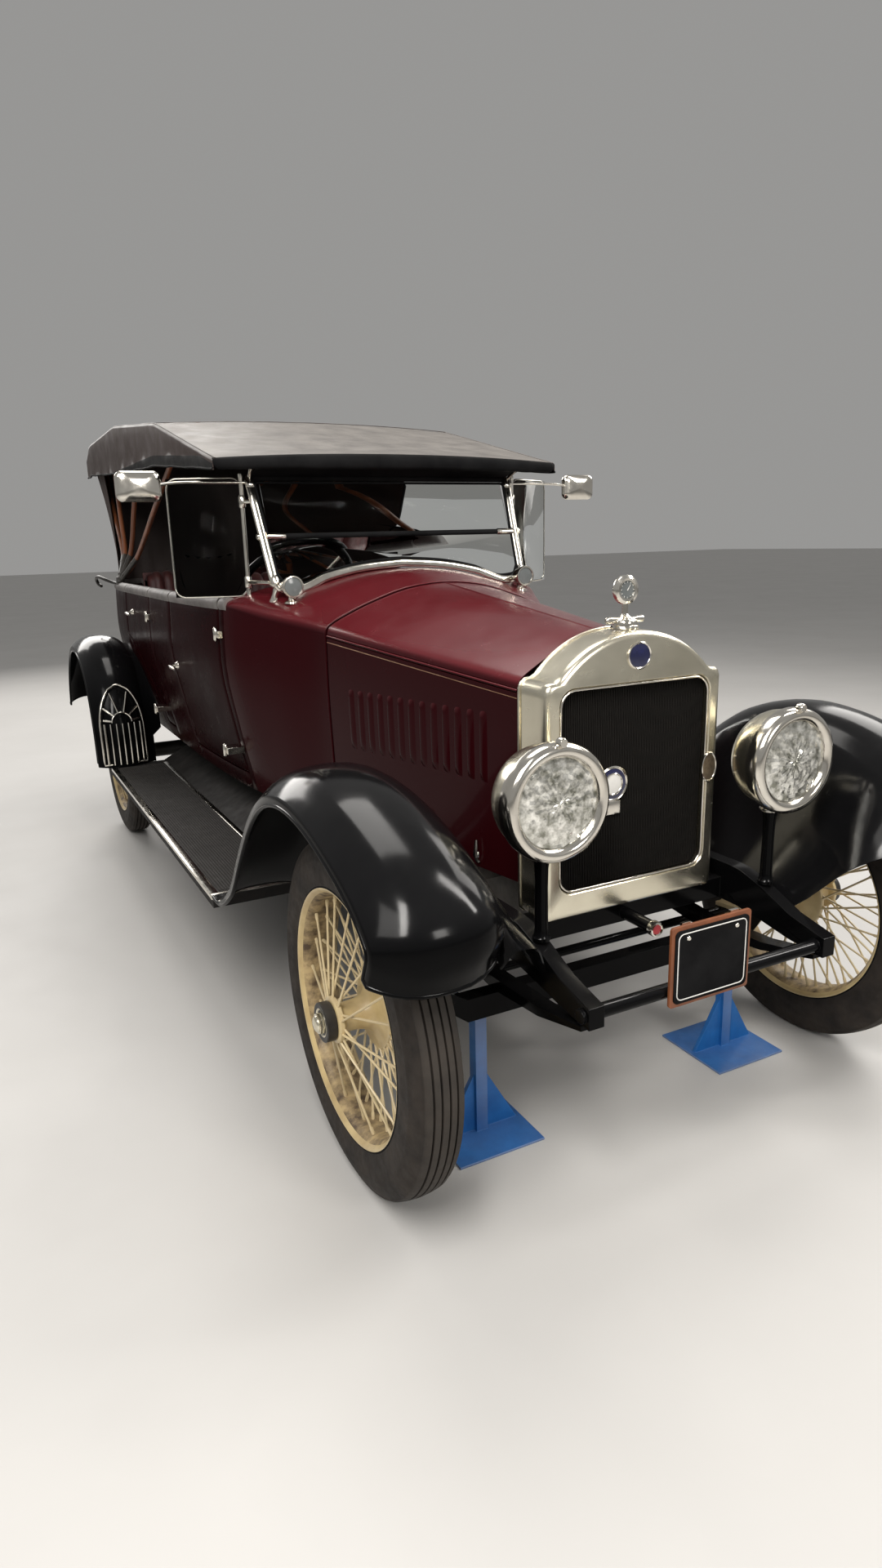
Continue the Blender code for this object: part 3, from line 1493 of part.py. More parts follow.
def front_fender(side):
    """A crowned wing with its apron down to the chassis rail."""
    spine, feet = [], []
    foot_end = RAIL_X + RAIL_WIDTH / 2 + FENDER_SHEET / 2
    for along, rise, foot_rise, foot_reach in FRONT_FENDER_SHARES:
        z_at = [mix(BOARD_TOP_Z, FENDER_TOP_Z, share) for share in (rise, foot_rise)]
        spine.append((mix(-REACH_AHEAD, BOARD_FRONT_Y, along), z_at[0]))
        feet.append((mix(FENDER_INNER_X, foot_end, foot_reach), z_at[1]))
    rows = fender_rows(spine, FENDER_INNER_X, FENDER_OUTER_X, side, feet)
    return smooth(sheet(f"fender_front_{side_name(side)}", rows, FENDER_SHEET, BLACK, offset=0.0))


def rear_fender(side):
    """A crowned wing round the rear wheel, flanged to the body and footed on the running board."""
    spine, feet = [], []
    for along, rise, reach in REAR_FENDER_SHARES:
        span_y = REAR_FENDER_BEHIND if along > 0 else REAR_FENDER_AHEAD
        spine.append((WHEELBASE + along * span_y, mix(BOARD_TOP_Z, REAR_FENDER_TOP_Z, rise)))
        feet.append((REAR_FENDER_INNER_X - mix(FENDER_SHEET * 3, FLANGE_REACH, reach), None))
    rows = fender_rows(spine, REAR_FENDER_INNER_X, REAR_FENDER_OUTER_X, side, feet)
    name = f"fender_rear_{side_name(side)}"
    wing = sheet(name, rows, FENDER_SHEET, BLACK)
    low_z = BODY_BOTTOM_Z - SEAT_GAP
    rings = [hull_ring(y, low_z, -SEAT_GAP, BELT_Z) for y in span(REAR_DOOR_Y, TUB_REAR_Y)]
    skin = loft(name + "_body", rings, guide=True)
    inner, outer = sorted((0.0, side * WHEELBASE))
    corner = (outer, BOARD_REAR_Y, BOARD_TOP_Z + SEAT_GAP)
    board = box(name + "_board", (inner, REAR_DOOR_Y, 0.0), corner, guide=True)
    return smooth(cut(wing, skin, board))


for side in SIDES:
    name = side_name(side)
    front_fender(side)
    rear_fender(side)

    low, high = sorted((side * BOARD_INNER_X, side * FENDER_OUTER_X))
    board = box(
        f"running_board_{name}",
        (low, BOARD_FRONT_Y, BOARD_TOP_Z - BOARD_THICK),
        (high, BOARD_REAR_Y, BOARD_TOP_Z),
        MAT,
    )
    apron = plate(
        f"apron_{name}",
        "XZ",
        (
            (side * (BOARD_INNER_X + BODY_WALL / 2), BOARD_TOP_Z - BOARD_THICK / 2),
            (side * (RAIL_X + RAIL_WIDTH / 2 + SEAT_GAP), RAIL_TOP - RAIL_WIDTH),
            (side * (RAIL_X + RAIL_WIDTH / 2 + SEAT_GAP), RAIL_TOP - RAIL_WIDTH / 2),
            (side * (BOARD_INNER_X + BODY_WALL / 2), BOARD_TOP_Z - BOARD_THICK / 4),
        ),
        BOARD_FRONT_Y,
        BOARD_REAR_Y,
    )
    mat = box(
        f"mat_{name}",
        (low + MAT_EDGE, BOARD_FRONT_Y + MAT_EDGE, BOARD_TOP_Z - BOARD_THICK / 2),
        (high - MAT_EDGE, WHEELBASE - REAR_FENDER_AHEAD - MAT_EDGE, BOARD_TOP_Z + MAT_THICK),
    )
    fuse(board, apron, mat)


# Headlamps

LAMP_X = RAIL_X + SEAT_GAP
LAMP_FACE_Y = -0.262
LAMP_Z = 0.914
LAMP_RADIUS = 0.132
LAMP_DEPTH = 0.155
POST_RADIUS = 0.016
for side in SIDES:
    name = side_name(side)
    drum = turned(
        f"headlamp_{name}",
        (
            (0.0, LAMP_DEPTH * 0.08),
            (LAMP_RADIUS * 0.5, LAMP_DEPTH * 0.06),
            (LAMP_RADIUS * 0.86, 0.0),
            (LAMP_RADIUS, -LAMP_DEPTH * 0.08),
            (LAMP_RADIUS, -LAMP_DEPTH * 0.23),
            (LAMP_RADIUS * 0.94, -LAMP_DEPTH * 0.29),
            (LAMP_RADIUS * 0.90, -LAMP_DEPTH * 0.6),
            (LAMP_RADIUS * 0.66, -LAMP_DEPTH * 0.9),
            (LAMP_RADIUS * 0.3, -LAMP_DEPTH),
            (0.0, -LAMP_DEPTH),
        ),
        (side * LAMP_X, LAMP_FACE_Y, LAMP_Z),
        (0, -1, 0),
        NICKEL,
        steps=20,
    )
    post_y = LAMP_FACE_Y + LAMP_DEPTH * 0.5
    post = rod(
        f"lamp_post_{name}",
        (side * LAMP_X, post_y, horn_top(post_y + POST_RADIUS) + SEAT_GAP),
        (side * LAMP_X, post_y, LAMP_Z - LAMP_RADIUS * 0.7),
        POST_RADIUS,
    )
    fuse(drum, post)


# Windscreen, wings and mirrors

SCREEN_DROP = 0.073
# columns: share of the half width, share of the drop below the foot line at the middle
SCREEN_FOOT_SHARES = ((0.0, 0.0), (0.30, 0.14), (0.60, 0.49), (0.84, 1.0), (0.96, 0.93), (1.0, 0.55))


def screen_point(x, z):
    """A point in the raked plane of the windscreen."""
    return (x, mix(SCREEN_FOOT_Y, SCREEN_TOP_Y, (z - SCREEN_FOOT_Z) / (SCREEN_TOP_Z - SCREEN_FOOT_Z)), z)


def drawn_in(outline, distance):
    """An outline that runs anticlockwise, moved inward by one distance all round."""
    points = [Vector(p) for p in outline]
    moved = []
    for before, here, after in zip(points[-1:] + points[:-1], points, points[1:] + points[:1]):
        first = (here - before).normalized()
        second = (after - here).normalized()
        inward = Vector((-first.y, first.x)) + Vector((-second.y, second.x))
        moved.append(tuple(here + inward * distance / (1.0 + first.dot(second))))
    return moved


def screen_outline(inset):
    """(x, z) points round the screen, drawn in from the frame's middle line."""
    foot = [(SCREEN_HALF * share, SCREEN_FOOT_Z - SCREEN_DROP * drop) for share, drop in SCREEN_FOOT_SHARES]
    right = foot + [(SCREEN_HALF + SCREEN_SPREAD, SCREEN_TOP_Z)]
    left = [(-x, z) for x, z in reversed(right) if x > 0]
    return drawn_in(right + left, inset)


SCREEN_SPREAD = 0.02
CLAMP = 0.016
FOOT_REACH = 0.05


def windscreen():
    """A bent tube round two panes, with a rail across between them."""
    loop = [screen_point(x, z) for x, z in screen_outline(0.0)]
    frame = tube("windscreen_frame", loop, SCREEN_TUBE, NICKEL, closed=True)
    ends = [screen_point(side * SCREEN_HALF, SCREEN_BAR_Z) for side in SIDES]
    rail = rod("screen_rail", ends[0], ends[1], SCREEN_TUBE * 0.7, sides=8)
    feet = []
    for side in SIDES:
        x, y, z = screen_point(side * SCREEN_HALF * 0.93, SCREEN_FOOT_Z - SCREEN_DROP)
        name = f"screen_foot_{side_name(side)}"
        feet.append(rod(name, (x, y, z - FOOT_REACH), (x, y, z), SCREEN_TUBE * 1.2))
    skin_rings = [hull_ring(y, BODY_BOTTOM_Z, -SEAT_GAP * 2) for y in span(BONNET_REAR_Y, SCUTTLE_REAR_Y)]
    skin = loft("scuttle_skin", skin_rings, guide=True)
    fuse(frame, rail, *feet)
    cut(frame, skin)
    inset = SCREEN_TUBE + SEAT_GAP
    outline = screen_outline(inset)
    upper_z = SCREEN_BAR_Z + SCREEN_TUBE * 0.7 + SEAT_GAP
    lower_z = SCREEN_BAR_Z - SCREEN_TUBE * 0.7 - SEAT_GAP
    foot = [(x, z) for x, z in outline if z < lower_z]
    half = SCREEN_HALF - inset * 1.2
    right = [p for p in foot if p[0] >= 0] + [(half, lower_z)]
    left = [(-x, z) for x, z in reversed(right) if x > 0]
    head = SCREEN_TOP_Z - inset
    panes = (
        ("lower", right + left),
        ("upper", [(half, upper_z), (half, head), (-half, head), (-half, upper_z)]),
    )
    for name, points in panes:
        rings = []
        for offset in (-GLASS_THICK / 2, GLASS_THICK / 2):
            ring = []
            for x, z in points:
                px, py, pz = screen_point(x, z)
                ring.append((px, py + offset, pz))
            rings.append(ring)
        loft(f"windscreen_glass_{name}", rings, GLASS)
    return frame


screen = windscreen()

WING_FOOT_Z = 1.29
WING_WIDTH = 0.22
WING_SWEEP = 0.11
MIRROR_REACH = 0.33
MIRROR_WIDTH = 0.13
MIRROR_THICK = 0.022
MIRROR_HEIGHT = 0.095
MIRROR_Y = 1.36
MIRROR_Z = 1.645
ARM_RADIUS = 0.006
RELIEF_DEPTH = 0.024
for side in SIDES:
    name = side_name(side)
    root_x = SCREEN_HALF + SCREEN_SPREAD + SCREEN_TUBE + CLAMP
    start = Vector((side * root_x, SCREEN_TOP_Y, 0))
    end = start + Vector((side * WING_WIDTH, WING_SWEEP, 0))
    normal = Vector((end.y - start.y, start.x - end.x, 0)).normalized() * GLASS_THICK / 2
    corners = [p + n for p, n in ((start, normal), (end, normal), (end, -normal), (start, -normal))]
    rings = [[(p.x, p.y, z) for p in corners] for z in (WING_FOOT_Z, SCREEN_TOP_Z)]
    loft(f"wing_glass_{name}", rings, GLASS)
    reach = side * (root_x + MIRROR_REACH)
    block = Vector((MIRROR_WIDTH, MIRROR_THICK, MIRROR_HEIGHT)) / 2
    head = Vector((reach, MIRROR_Y, MIRROR_Z))
    mirror = box(f"mirror_{name}", head - block, head + block)
    arm_start = screen_point(side * (SCREEN_HALF + SCREEN_SPREAD), MIRROR_Z)
    arm = rod(f"mirror_arm_{name}", arm_start, (reach, MIRROR_Y, MIRROR_Z), ARM_RADIUS, sides=8)
    ahead = normal if normal.y < 0 else -normal
    near = start + (start - end) * 0.2
    front = ahead * (1.0 + SEAT_GAP / ahead.length)
    back = ahead.normalized() * -RELIEF_DEPTH
    corners = [p + n for p, n in ((near, front), (end, front), (end, back), (near, back))]
    levels = (WING_FOOT_Z - OVERRUN, SCREEN_TOP_Z + OVERRUN)
    relief = [[(p.x, p.y, z) for p in corners] for z in levels]
    clear = loft(f"wing_relief_{name}", relief, guide=True)
    fuse(screen, mirror, cut(arm, clear))
    for i, share in enumerate((0.12, 0.8)):
        z = mix(WING_FOOT_Z, SCREEN_TOP_Z, share)
        post = Vector(screen_point(side * mix(SCREEN_HALF, SCREEN_HALF + SCREEN_SPREAD, 0.6), z))
        edge = Vector((start.x + side * ARM_RADIUS, start.y, z))
        fuse(screen, cut(rod(f"wing_clamp_{name}_{i}", post, edge, ARM_RADIUS, sides=8), clear))


# Folding top: cloth, back curtain and bows

TOP_CROWN = 0.02
VALANCE = 0.21
# columns, as shares: reach from the header to the rear bow, fall of the crown line from the roof
# to the header, half width, and depth of the side valance
TOP_SHARES = (
    (0.0, 1.0, 1.0, 0.17),
    (0.30, 0.29, 1.0, 0.76),
    (0.60, 0.0, 1.02, 1.0),
    (0.88, 0.036, 1.02, 0.74),
    (1.0, 0.20, 0.98, 0.48),
)
TOP_STATIONS = tuple(
    (mix(HEADER_Y, TOP_REAR_Y, reach), mix(ROOF_Z, HEADER_Z, fall), TOP_HALF * wide, VALANCE * drop)
    for reach, fall, wide, drop in TOP_SHARES
)


def top_row(y, z, half, valance):
    shares = (1.0, 0.97, 0.8, 0.45, 0.0, -0.45, -0.8, -0.97, -1.0)
    row = [(half, y, z - TOP_CROWN - valance)]
    row += [(half * s, y, z - TOP_CROWN * abs(s) ** 2.2) for s in shares]
    row += [(-half, y, z - TOP_CROWN - valance)]
    return row


def top():
    """The cloth from header to rear bow with its side valances, and the curtain behind."""
    rows = [top_row(*row) for row in TOP_STATIONS]
    smooth(sheet("top_cloth", rows, TOP_SHEET, CLOTH), 50)
    y, z, half, valance = TOP_STATIONS[-1]
    head_z = z - TOP_CROWN - TOP_SHEET - CURTAIN_GAP
    head_half = half - TOP_SHEET - CURTAIN_GAP
    side_y = mix(SCUTTLE_REAR_Y, TUB_REAR_Y, 0.92)
    rear = TUB_REAR_Y - CURTAIN_INSET
    foot = [(table_at(BODY_STATIONS, y)[0] - CURTAIN_INSET, y) for y in (side_y, BODY_STATIONS[-2][0], rear)]
    rear = TOP_REAR_Y - CURTAIN_GAP
    head = [(head_half, side_y), (head_half, mix(side_y, rear, 0.8)), (head_half * 0.86, rear)]
    rings = []
    for level, plan in ((BELT_Z + SEAT_GAP, foot), (head_z, head)):
        outer = plan + [(-x, y) for x, y in reversed(plan)]
        inner = [(x - math.copysign(TOP_SHEET, x), y - TOP_SHEET * (y > side_y)) for x, y in reversed(outer)]
        rings.append([(x, y, level) for x, y in outer + inner])
    return loft("top_curtain", rings, CLOTH)


CURTAIN_INSET = 0.014
CURTAIN_GAP = 0.004
top()

BOW_RADIUS = 0.012
PIVOT_Y = 3.30
PIVOT_Z = BELT_Z + BOW_RADIUS * 2.5
PIVOT_X = BODY_HALF - BODY_WALL * 0.7


def bows():
    """Four hoops that fan out from one pivot on each side of the body."""
    made = []
    half = TOP_HALF - TOP_SHEET - BOW_RADIUS * 4.2
    knee = half - BOW_RADIUS * 3.5
    rear = TOP_REAR_Y - TOP_SHEET - CURTAIN_GAP - BOW_RADIUS * 2
    places = [row[0] for row in TOP_STATIONS[1:-1]] + [rear]
    for i, y in enumerate(places):
        z = table_at(TOP_STATIONS, y)[0]
        top_z = z - TOP_SHEET - BOW_RADIUS - BOW_GAP
        shoulder = top_z - TOP_CROWN - BOW_RADIUS * 2
        points = [
            (PIVOT_X, PIVOT_Y, PIVOT_Z),
            (half, mix(PIVOT_Y, y, 0.2), mix(PIVOT_Z, shoulder, 0.2)),
            (knee, mix(PIVOT_Y, y, 0.93), mix(PIVOT_Z, shoulder, 0.93)),
        ]
        points += [(TOP_HALF * s, y, top_z - TOP_CROWN * s**2.2) for s in (0.8, 0.45)]
        middle = [(0.0, y, top_z)]
        points += middle + [(-x, py, pz) for x, py, pz in reversed(points)]
        made.append(tube(f"bow_{i}", points, BOW_RADIUS, WOOD if i == 0 else None, guide=i > 0))
    for side in SIDES:
        foot = (side * PIVOT_X, PIVOT_Y, BELT_Z + SEAT_GAP)
        head = (side * PIVOT_X, PIVOT_Y, PIVOT_Z + BOW_RADIUS)
        made.append(rod(f"pivot_{side_name(side)}", foot, head, BOW_RADIUS * 1.4))
    first = made[0]
    first.name = "top_bows"
    return fuse(first, *made[1:])


BOW_GAP = 0.0008
bows()


# Number plate, axle stands and the spare wheel

PLATE_X = -0.035
PLATE_WIDTH = 0.23
PLATE_THICK = 0.012
PLATE_HEIGHT = 0.19
PLATE_RISE = 0.063
PLATE_Z = HORN_TIP_Z + PLATE_RISE
plate_back = HORN_TIP_Y + HORN_DEPTH / 2 - SPREADER_RADIUS - SEAT_GAP
box(
    "number_plate",
    (PLATE_X - PLATE_WIDTH / 2, plate_back - PLATE_THICK, PLATE_Z - PLATE_HEIGHT / 2),
    (PLATE_X + PLATE_WIDTH / 2, plate_back, PLATE_Z + PLATE_HEIGHT / 2),
    BLACK,
)

STAND_INSET = 0.18
STAND_X = KINGPIN_X - STAND_INSET
STAND_FOOT = 0.12
STAND_PLATE = 0.006
STAND_POST = 0.016
for side in SIDES:
    name = side_name(side)
    foot = box(
        f"axle_stand_{name}",
        (side * STAND_X - STAND_FOOT, -STAND_FOOT, 0.0),
        (side * STAND_X + STAND_FOOT, STAND_FOOT, STAND_PLATE),
        BLUE,
    )
    head_z = AXLE_BEAM_Z - AXLE_BEAM_DEPTH / 2 - SEAT_GAP
    post = box(
        f"stand_post_{name}",
        (side * STAND_X - STAND_POST, -STAND_POST, STAND_PLATE / 2),
        (side * STAND_X + STAND_POST, STAND_POST, head_z),
    )
    rib = plate(
        f"stand_rib_{name}",
        "XZ",
        (
            (side * STAND_X - STAND_FOOT * 0.9, STAND_PLATE / 2),
            (side * STAND_X + STAND_FOOT * 0.9, STAND_PLATE / 2),
            (side * STAND_X, head_z * 0.6),
        ),
        -STAND_PLATE,
        STAND_PLATE,
    )
    fuse(foot, post, rib)

spare = (0.0, SPARE_Y, SPARE_Z)
wire_wheel("wire_wheel_spare", spare, (0, 1, 0))
tyre("tyre_spare", spare, (0, 1, 0))
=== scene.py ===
"""Looks of the vintage open tourer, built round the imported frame.

Stations along the car count from the front axle, and AHEAD carries them into the frame.
Lengths are in metres. Only turned profiles are in millimetres, as pairs of radius and height.
"""

import json
import math
import random
from math import cos, radians, sin, sqrt

import bmesh
import bpy
from mathutils import Matrix, Vector


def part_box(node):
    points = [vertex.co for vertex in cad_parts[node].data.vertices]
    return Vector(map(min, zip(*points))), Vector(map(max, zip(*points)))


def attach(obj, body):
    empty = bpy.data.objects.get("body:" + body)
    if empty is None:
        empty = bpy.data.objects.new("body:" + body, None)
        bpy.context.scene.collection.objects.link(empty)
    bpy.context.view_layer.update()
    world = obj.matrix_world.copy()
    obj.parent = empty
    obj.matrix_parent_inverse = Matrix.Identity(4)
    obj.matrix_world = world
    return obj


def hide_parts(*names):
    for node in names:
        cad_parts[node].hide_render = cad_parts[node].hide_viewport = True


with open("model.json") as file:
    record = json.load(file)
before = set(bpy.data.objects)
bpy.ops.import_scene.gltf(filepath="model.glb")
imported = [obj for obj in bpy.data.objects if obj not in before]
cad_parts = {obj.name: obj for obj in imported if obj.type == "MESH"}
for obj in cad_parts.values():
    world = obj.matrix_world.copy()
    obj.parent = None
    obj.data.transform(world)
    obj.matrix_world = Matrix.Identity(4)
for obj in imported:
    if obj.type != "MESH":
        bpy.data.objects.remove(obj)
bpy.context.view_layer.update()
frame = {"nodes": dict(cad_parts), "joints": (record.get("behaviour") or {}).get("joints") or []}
NODES = frame["nodes"]
AHEAD = -1.8
HALF_TRACK, AXLE_HIGH, REAR_AXLE = 0.711, 0.413, 3.2
SPARE = (0, 3.954, 0.86)
SIDES = (-1, 1)
PI = math.pi
RANDOM = random.Random(19)
ORIGIN, FORWARD, REARWARD, UP = (0, 0, 0), (0, -1, 0), (0, 1, 0), (0, 0, 1)


def side_name(side):
    return "left" if side > 0 else "right"


def mix(a, b, t):
    return a + (b - a) * t


def spread(a, b, count):
    """Evenly spaced values from a to b, one more than count."""
    return [mix(a, b, i / count) for i in range(count + 1)]


def turns(count):
    """The angles of one full turn in count steps."""
    return [2 * PI * i / count for i in range(count)]


def polar(radius, angle, z=0.0):
    return Vector((radius * cos(angle), radius * sin(angle), z))


def upright_way(angle):
    """A direction in the plane across the car."""
    return Vector((cos(angle), 0, sin(angle)))


# Camera, lights and stage

CAMERA_PLACE = (-1.42, -1.807 + AHEAD, 1.459)
CAMERA_TURNS = (-27.12, 14.77, -1.5)
LENS, FILM = 21.29, 36.0

# Name, place, aim, size, power
LAMPS = (
    ("strip_near", (-1.9, -3.6, 3.3), (-0.9, -2.0, 0.6), (0.5, 2.2), 95),
    ("strip_far", (2.2, -2.6, 3.6), (0.4, -1.2, 0.8), (0.5, 2.6), 80),
    ("key", (-4.5, -4.0, 5.4), (0, -0.3, 0.9), (3.2, 3.2), 130),
    ("front", (1.0, -8.0, 3.6), (0, -1.8, 0.8), (1.5, 1.8), 120),
    ("side", (5.5, 0.5, 4.6), (0, 0, 0.9), (3.5, 3.0), 150),
    ("rear", (-0.8, 7.5, 4.4), (0, 0.8, 1.2), (5.5, 3.0), 330),
    ("over", (0.0, 0.9, 6.0), (0, 0.0, 0), (2.6, 2.8), 130),
)

scene = bpy.context.scene


def camera():
    azimuth, pitch, roll = (radians(a) for a in CAMERA_TURNS)
    level = cos(pitch)
    back = Vector((sin(azimuth) * level, -cos(azimuth) * level, sin(pitch)))
    right = (-back).cross(Vector(UP)).normalized()
    up = right.cross(-back)
    across = right * cos(roll) + up * sin(roll)
    over = up * cos(roll) - right * sin(roll)
    data = bpy.data.cameras.new("view")
    data.sensor_fit = "VERTICAL"
    data.sensor_height = FILM
    data.lens = LENS
    data.clip_end = 200.0
    obj = bpy.data.objects.new("view", data)
    turn = Matrix((across, over, back)).transposed().to_4x4()
    obj.matrix_world = Matrix.Translation(CAMERA_PLACE) @ turn
    scene.collection.objects.link(obj)
    scene.camera = obj


def lamp(name, place, aim, size, power):
    data = bpy.data.lights.new(name, "AREA")
    data.shape = "RECTANGLE"
    data.size, data.size_y = size
    data.energy = power
    data.color = (1, 0.97, 0.93)
    obj = bpy.data.objects.new(name, data)
    obj.location = place
    obj.rotation_euler = (Vector(aim) - Vector(place)).to_track_quat("-Z", "Y").to_euler()
    scene.collection.objects.link(obj)


camera()
for row in LAMPS:
    lamp(*row)
scene.view_settings.view_transform = "Standard"
scene.world = bpy.data.worlds.new("studio")
scene.world.use_nodes = True
studio = scene.world.node_tree.nodes["Background"]
studio.inputs[0].default_value = (0.86, 0.85, 0.83, 1)
studio.inputs[1].default_value = 0.36


# Finishes

FINISH, SLOT = {}, {}
EVEN = (1, 1, 1)
ALONG_BOW, ALONG_DASH = (1, 1, 0.12), (0.15, 1, 1)
# The ranges of noise, pointiness and upward slope over which a finish changes, from painted shade on steep
# sides to tops and from clean to dusty
MOTTLE, VARIED, WORN = (0.35, 0.65), (0.3, 0.7), (0.52, 0.6)
PAINTED_SHADE_SLOPE, SETTLED = (0.12, 0.62), (0.4, 1.0)
DUST = (0.42, 0.39, 0.35)
RANGE_ENDS = ("From Min", "From Max", "To Min", "To Max")


def finish(name, slot, colours, scale, rough, bumps, edge=None, dust=0.0, stretch=EVEN, painted_shade=None,
           **sockets):
    """A procedural material: two colours through a noise, a varied roughness, bumps, worn edges, dust.

    Rough is (low, high, scale). A bump is (scale, strength), then its pattern and stretch if they
    aren't plain. Edge is (colour, share). The painted shade is the colour painted on steep sides as
    shade, and the shine of sides and tops, lower on the sides to dim their reflections.
    """
    made = bpy.data.materials.new(name)
    made.use_nodes = True
    tree = made.node_tree
    shader = tree.nodes["Principled BSDF"]
    link = tree.links.new

    def node(kind, **values):
        new = tree.nodes.new(kind)
        for key, value in values.items():
            if key in new.inputs:
                new.inputs[key].default_value = value
            else:
                setattr(new, key, value)
        return new

    place = node("ShaderNodeTexCoord").outputs["Object"]

    def pattern(kind, size, way=EVEN):
        stretched = node("ShaderNodeMapping", Scale=way)
        link(place, stretched.inputs["Vector"])
        if kind == "voronoi":
            cells = node("ShaderNodeTexVoronoi", Scale=size)
        elif kind == "grain":
            cells = node("ShaderNodeTexWave", Scale=size, Distortion=7.0, Detail=3.0)
        else:
            cells = node("ShaderNodeTexNoise", Scale=size, Detail=5.0, Roughness=0.6)
        link(stretched.outputs["Vector"], cells.inputs["Vector"])
        return cells.outputs["Distance" if kind == "voronoi" else "Fac"]

    def blend(factor, first, second):
        mixer = node("ShaderNodeMix", data_type="RGBA")
        link(factor, mixer.inputs["Factor"])
        for socket, value in ((mixer.inputs[6], first), (mixer.inputs[7], second)):
            if isinstance(value, tuple):
                socket.default_value = (*value, 1)
            else:
                link(value, socket)
        return mixer.outputs[2]

    def ramp(value, *ends):
        ranged = node("ShaderNodeMapRange", **dict(zip(RANGE_ENDS, ends)))
        link(value, ranged.inputs["Value"])
        return ranged.outputs["Result"]

    grain = "noise" if stretch == EVEN else "grain"
    colour = blend(ramp(pattern(grain, scale, stretch), *MOTTLE, 0, 1), *colours)
    geometry = node("ShaderNodeNewGeometry")
    if edge:
        worn = ramp(geometry.outputs["Pointiness"], *WORN, 0, edge[1])
        colour = blend(worn, colour, edge[0])
    if dust or painted_shade:
        parts = node("ShaderNodeSeparateXYZ")
        link(geometry.outputs["Normal"], parts.inputs[0])
        upward = parts.outputs["Z"]
    # Painted shade: steep sides take a darker colour and weaker reflections than tops, standing in for how
    # the light falls on them
    if painted_shade:
        colour = blend(ramp(upward, *PAINTED_SHADE_SLOPE, 0, 1), painted_shade[0], colour)
        link(ramp(upward, *PAINTED_SHADE_SLOPE, *painted_shade[1]), shader.inputs["Specular IOR Level"])
    if dust:
        fall = node("ShaderNodeMath", operation="MULTIPLY")
        link(ramp(upward, *SETTLED, 0, dust), fall.inputs[0])
        link(pattern("noise", 9.0), fall.inputs[1])
        colour = blend(fall.outputs[0], colour, DUST)
    link(colour, shader.inputs["Base Color"])
    link(ramp(pattern("noise", rough[2]), *VARIED, *rough[:2]), shader.inputs["Roughness"])
    normal = None
    for size, strength, *kind in bumps:
        bump = node("ShaderNodeBump", Strength=strength, Distance=0.001)
        link(pattern(*(kind[:1] or ["noise"]), size, *kind[1:]), bump.inputs["Height"])
        if normal:
            link(normal, bump.inputs["Normal"])
        normal = bump.outputs["Normal"]
    link(normal, shader.inputs["Normal"])
    for key, value in sockets.items():
        shader.inputs[key.replace("_", " ")].default_value = value
    FINISH[name] = made
    SLOT[name] = slot


# Bonnet paint: steep sides get a much darker colour and a weaker shine than the top, as painted shade
finish("maroon", "maroon_paint", ((0.1, 0.006, 0.0105), (0.082, 0.0045, 0.008)), 2.2, (0.2, 0.28, 14),
       ((260, 0.012),), dust=0.02, painted_shade=((0.022, 0.0018, 0.003), (0.05, 0.45)), Coat_Weight=0.1,
       Coat_Roughness=0.05)
# The body's sides and doors: the same maroon paint as the bonnet, darkened as painted shade, with its
# reflections nearly taken out
finish("maroon_painted_shade", "maroon_paint", ((0.016, 0.0022, 0.003), (0.01, 0.0016, 0.0022)), 1.6,
       (0.24, 0.34, 12), ((240, 0.012),), Specular_IOR_Level=0.012)
# Fender enamel: steep sides a little darker and far less shiny than tops, as painted shade
finish("black", "black_enamel", ((0.003, 0.003, 0.0035), (0.005, 0.005, 0.0055)), 3.0, (0.1, 0.17, 16),
       ((230, 0.02),), dust=0.008, painted_shade=((0.002, 0.002, 0.0022), (0.06, 0.2)))
finish("frame_black", "black_enamel", ((0.005, 0.005, 0.005), (0.012, 0.011, 0.01)), 9.0,
       (0.3, 0.48, 24), ((150, 0.12),), ((0.09, 0.08, 0.07), 0.4), 0.08, Specular_IOR_Level=0.35)
finish("nickel", "nickel", ((0.8, 0.75, 0.61), (0.74, 0.69, 0.55)), 5.0, (0.22, 0.28, 22),
       ((420, 0.012, "noise", (1, 1, 5)),), Metallic=1.0)
finish("bright", "nickel", ((0.78, 0.75, 0.68), (0.66, 0.62, 0.55)), 8.0, (0.08, 0.22, 30),
       ((380, 0.03),), ((0.85, 0.82, 0.76), 0.3), Metallic=1.0)
finish("cream", "cream_enamel", ((0.58, 0.45, 0.22), (0.44, 0.32, 0.15)), 16.0, (0.32, 0.5, 30),
       ((180, 0.08),), ((0.72, 0.62, 0.42), 0.4), 0.2, Coat_Weight=0.25)
finish("rubber", "tyre_rubber", ((0.015, 0.0125, 0.011), (0.034, 0.027, 0.022)), 12.0, (0.62, 0.85, 35),
       ((300, 0.25), (30, 0.2)), ((0.08, 0.07, 0.06), 0.5), 0.05, Specular_IOR_Level=0.25)
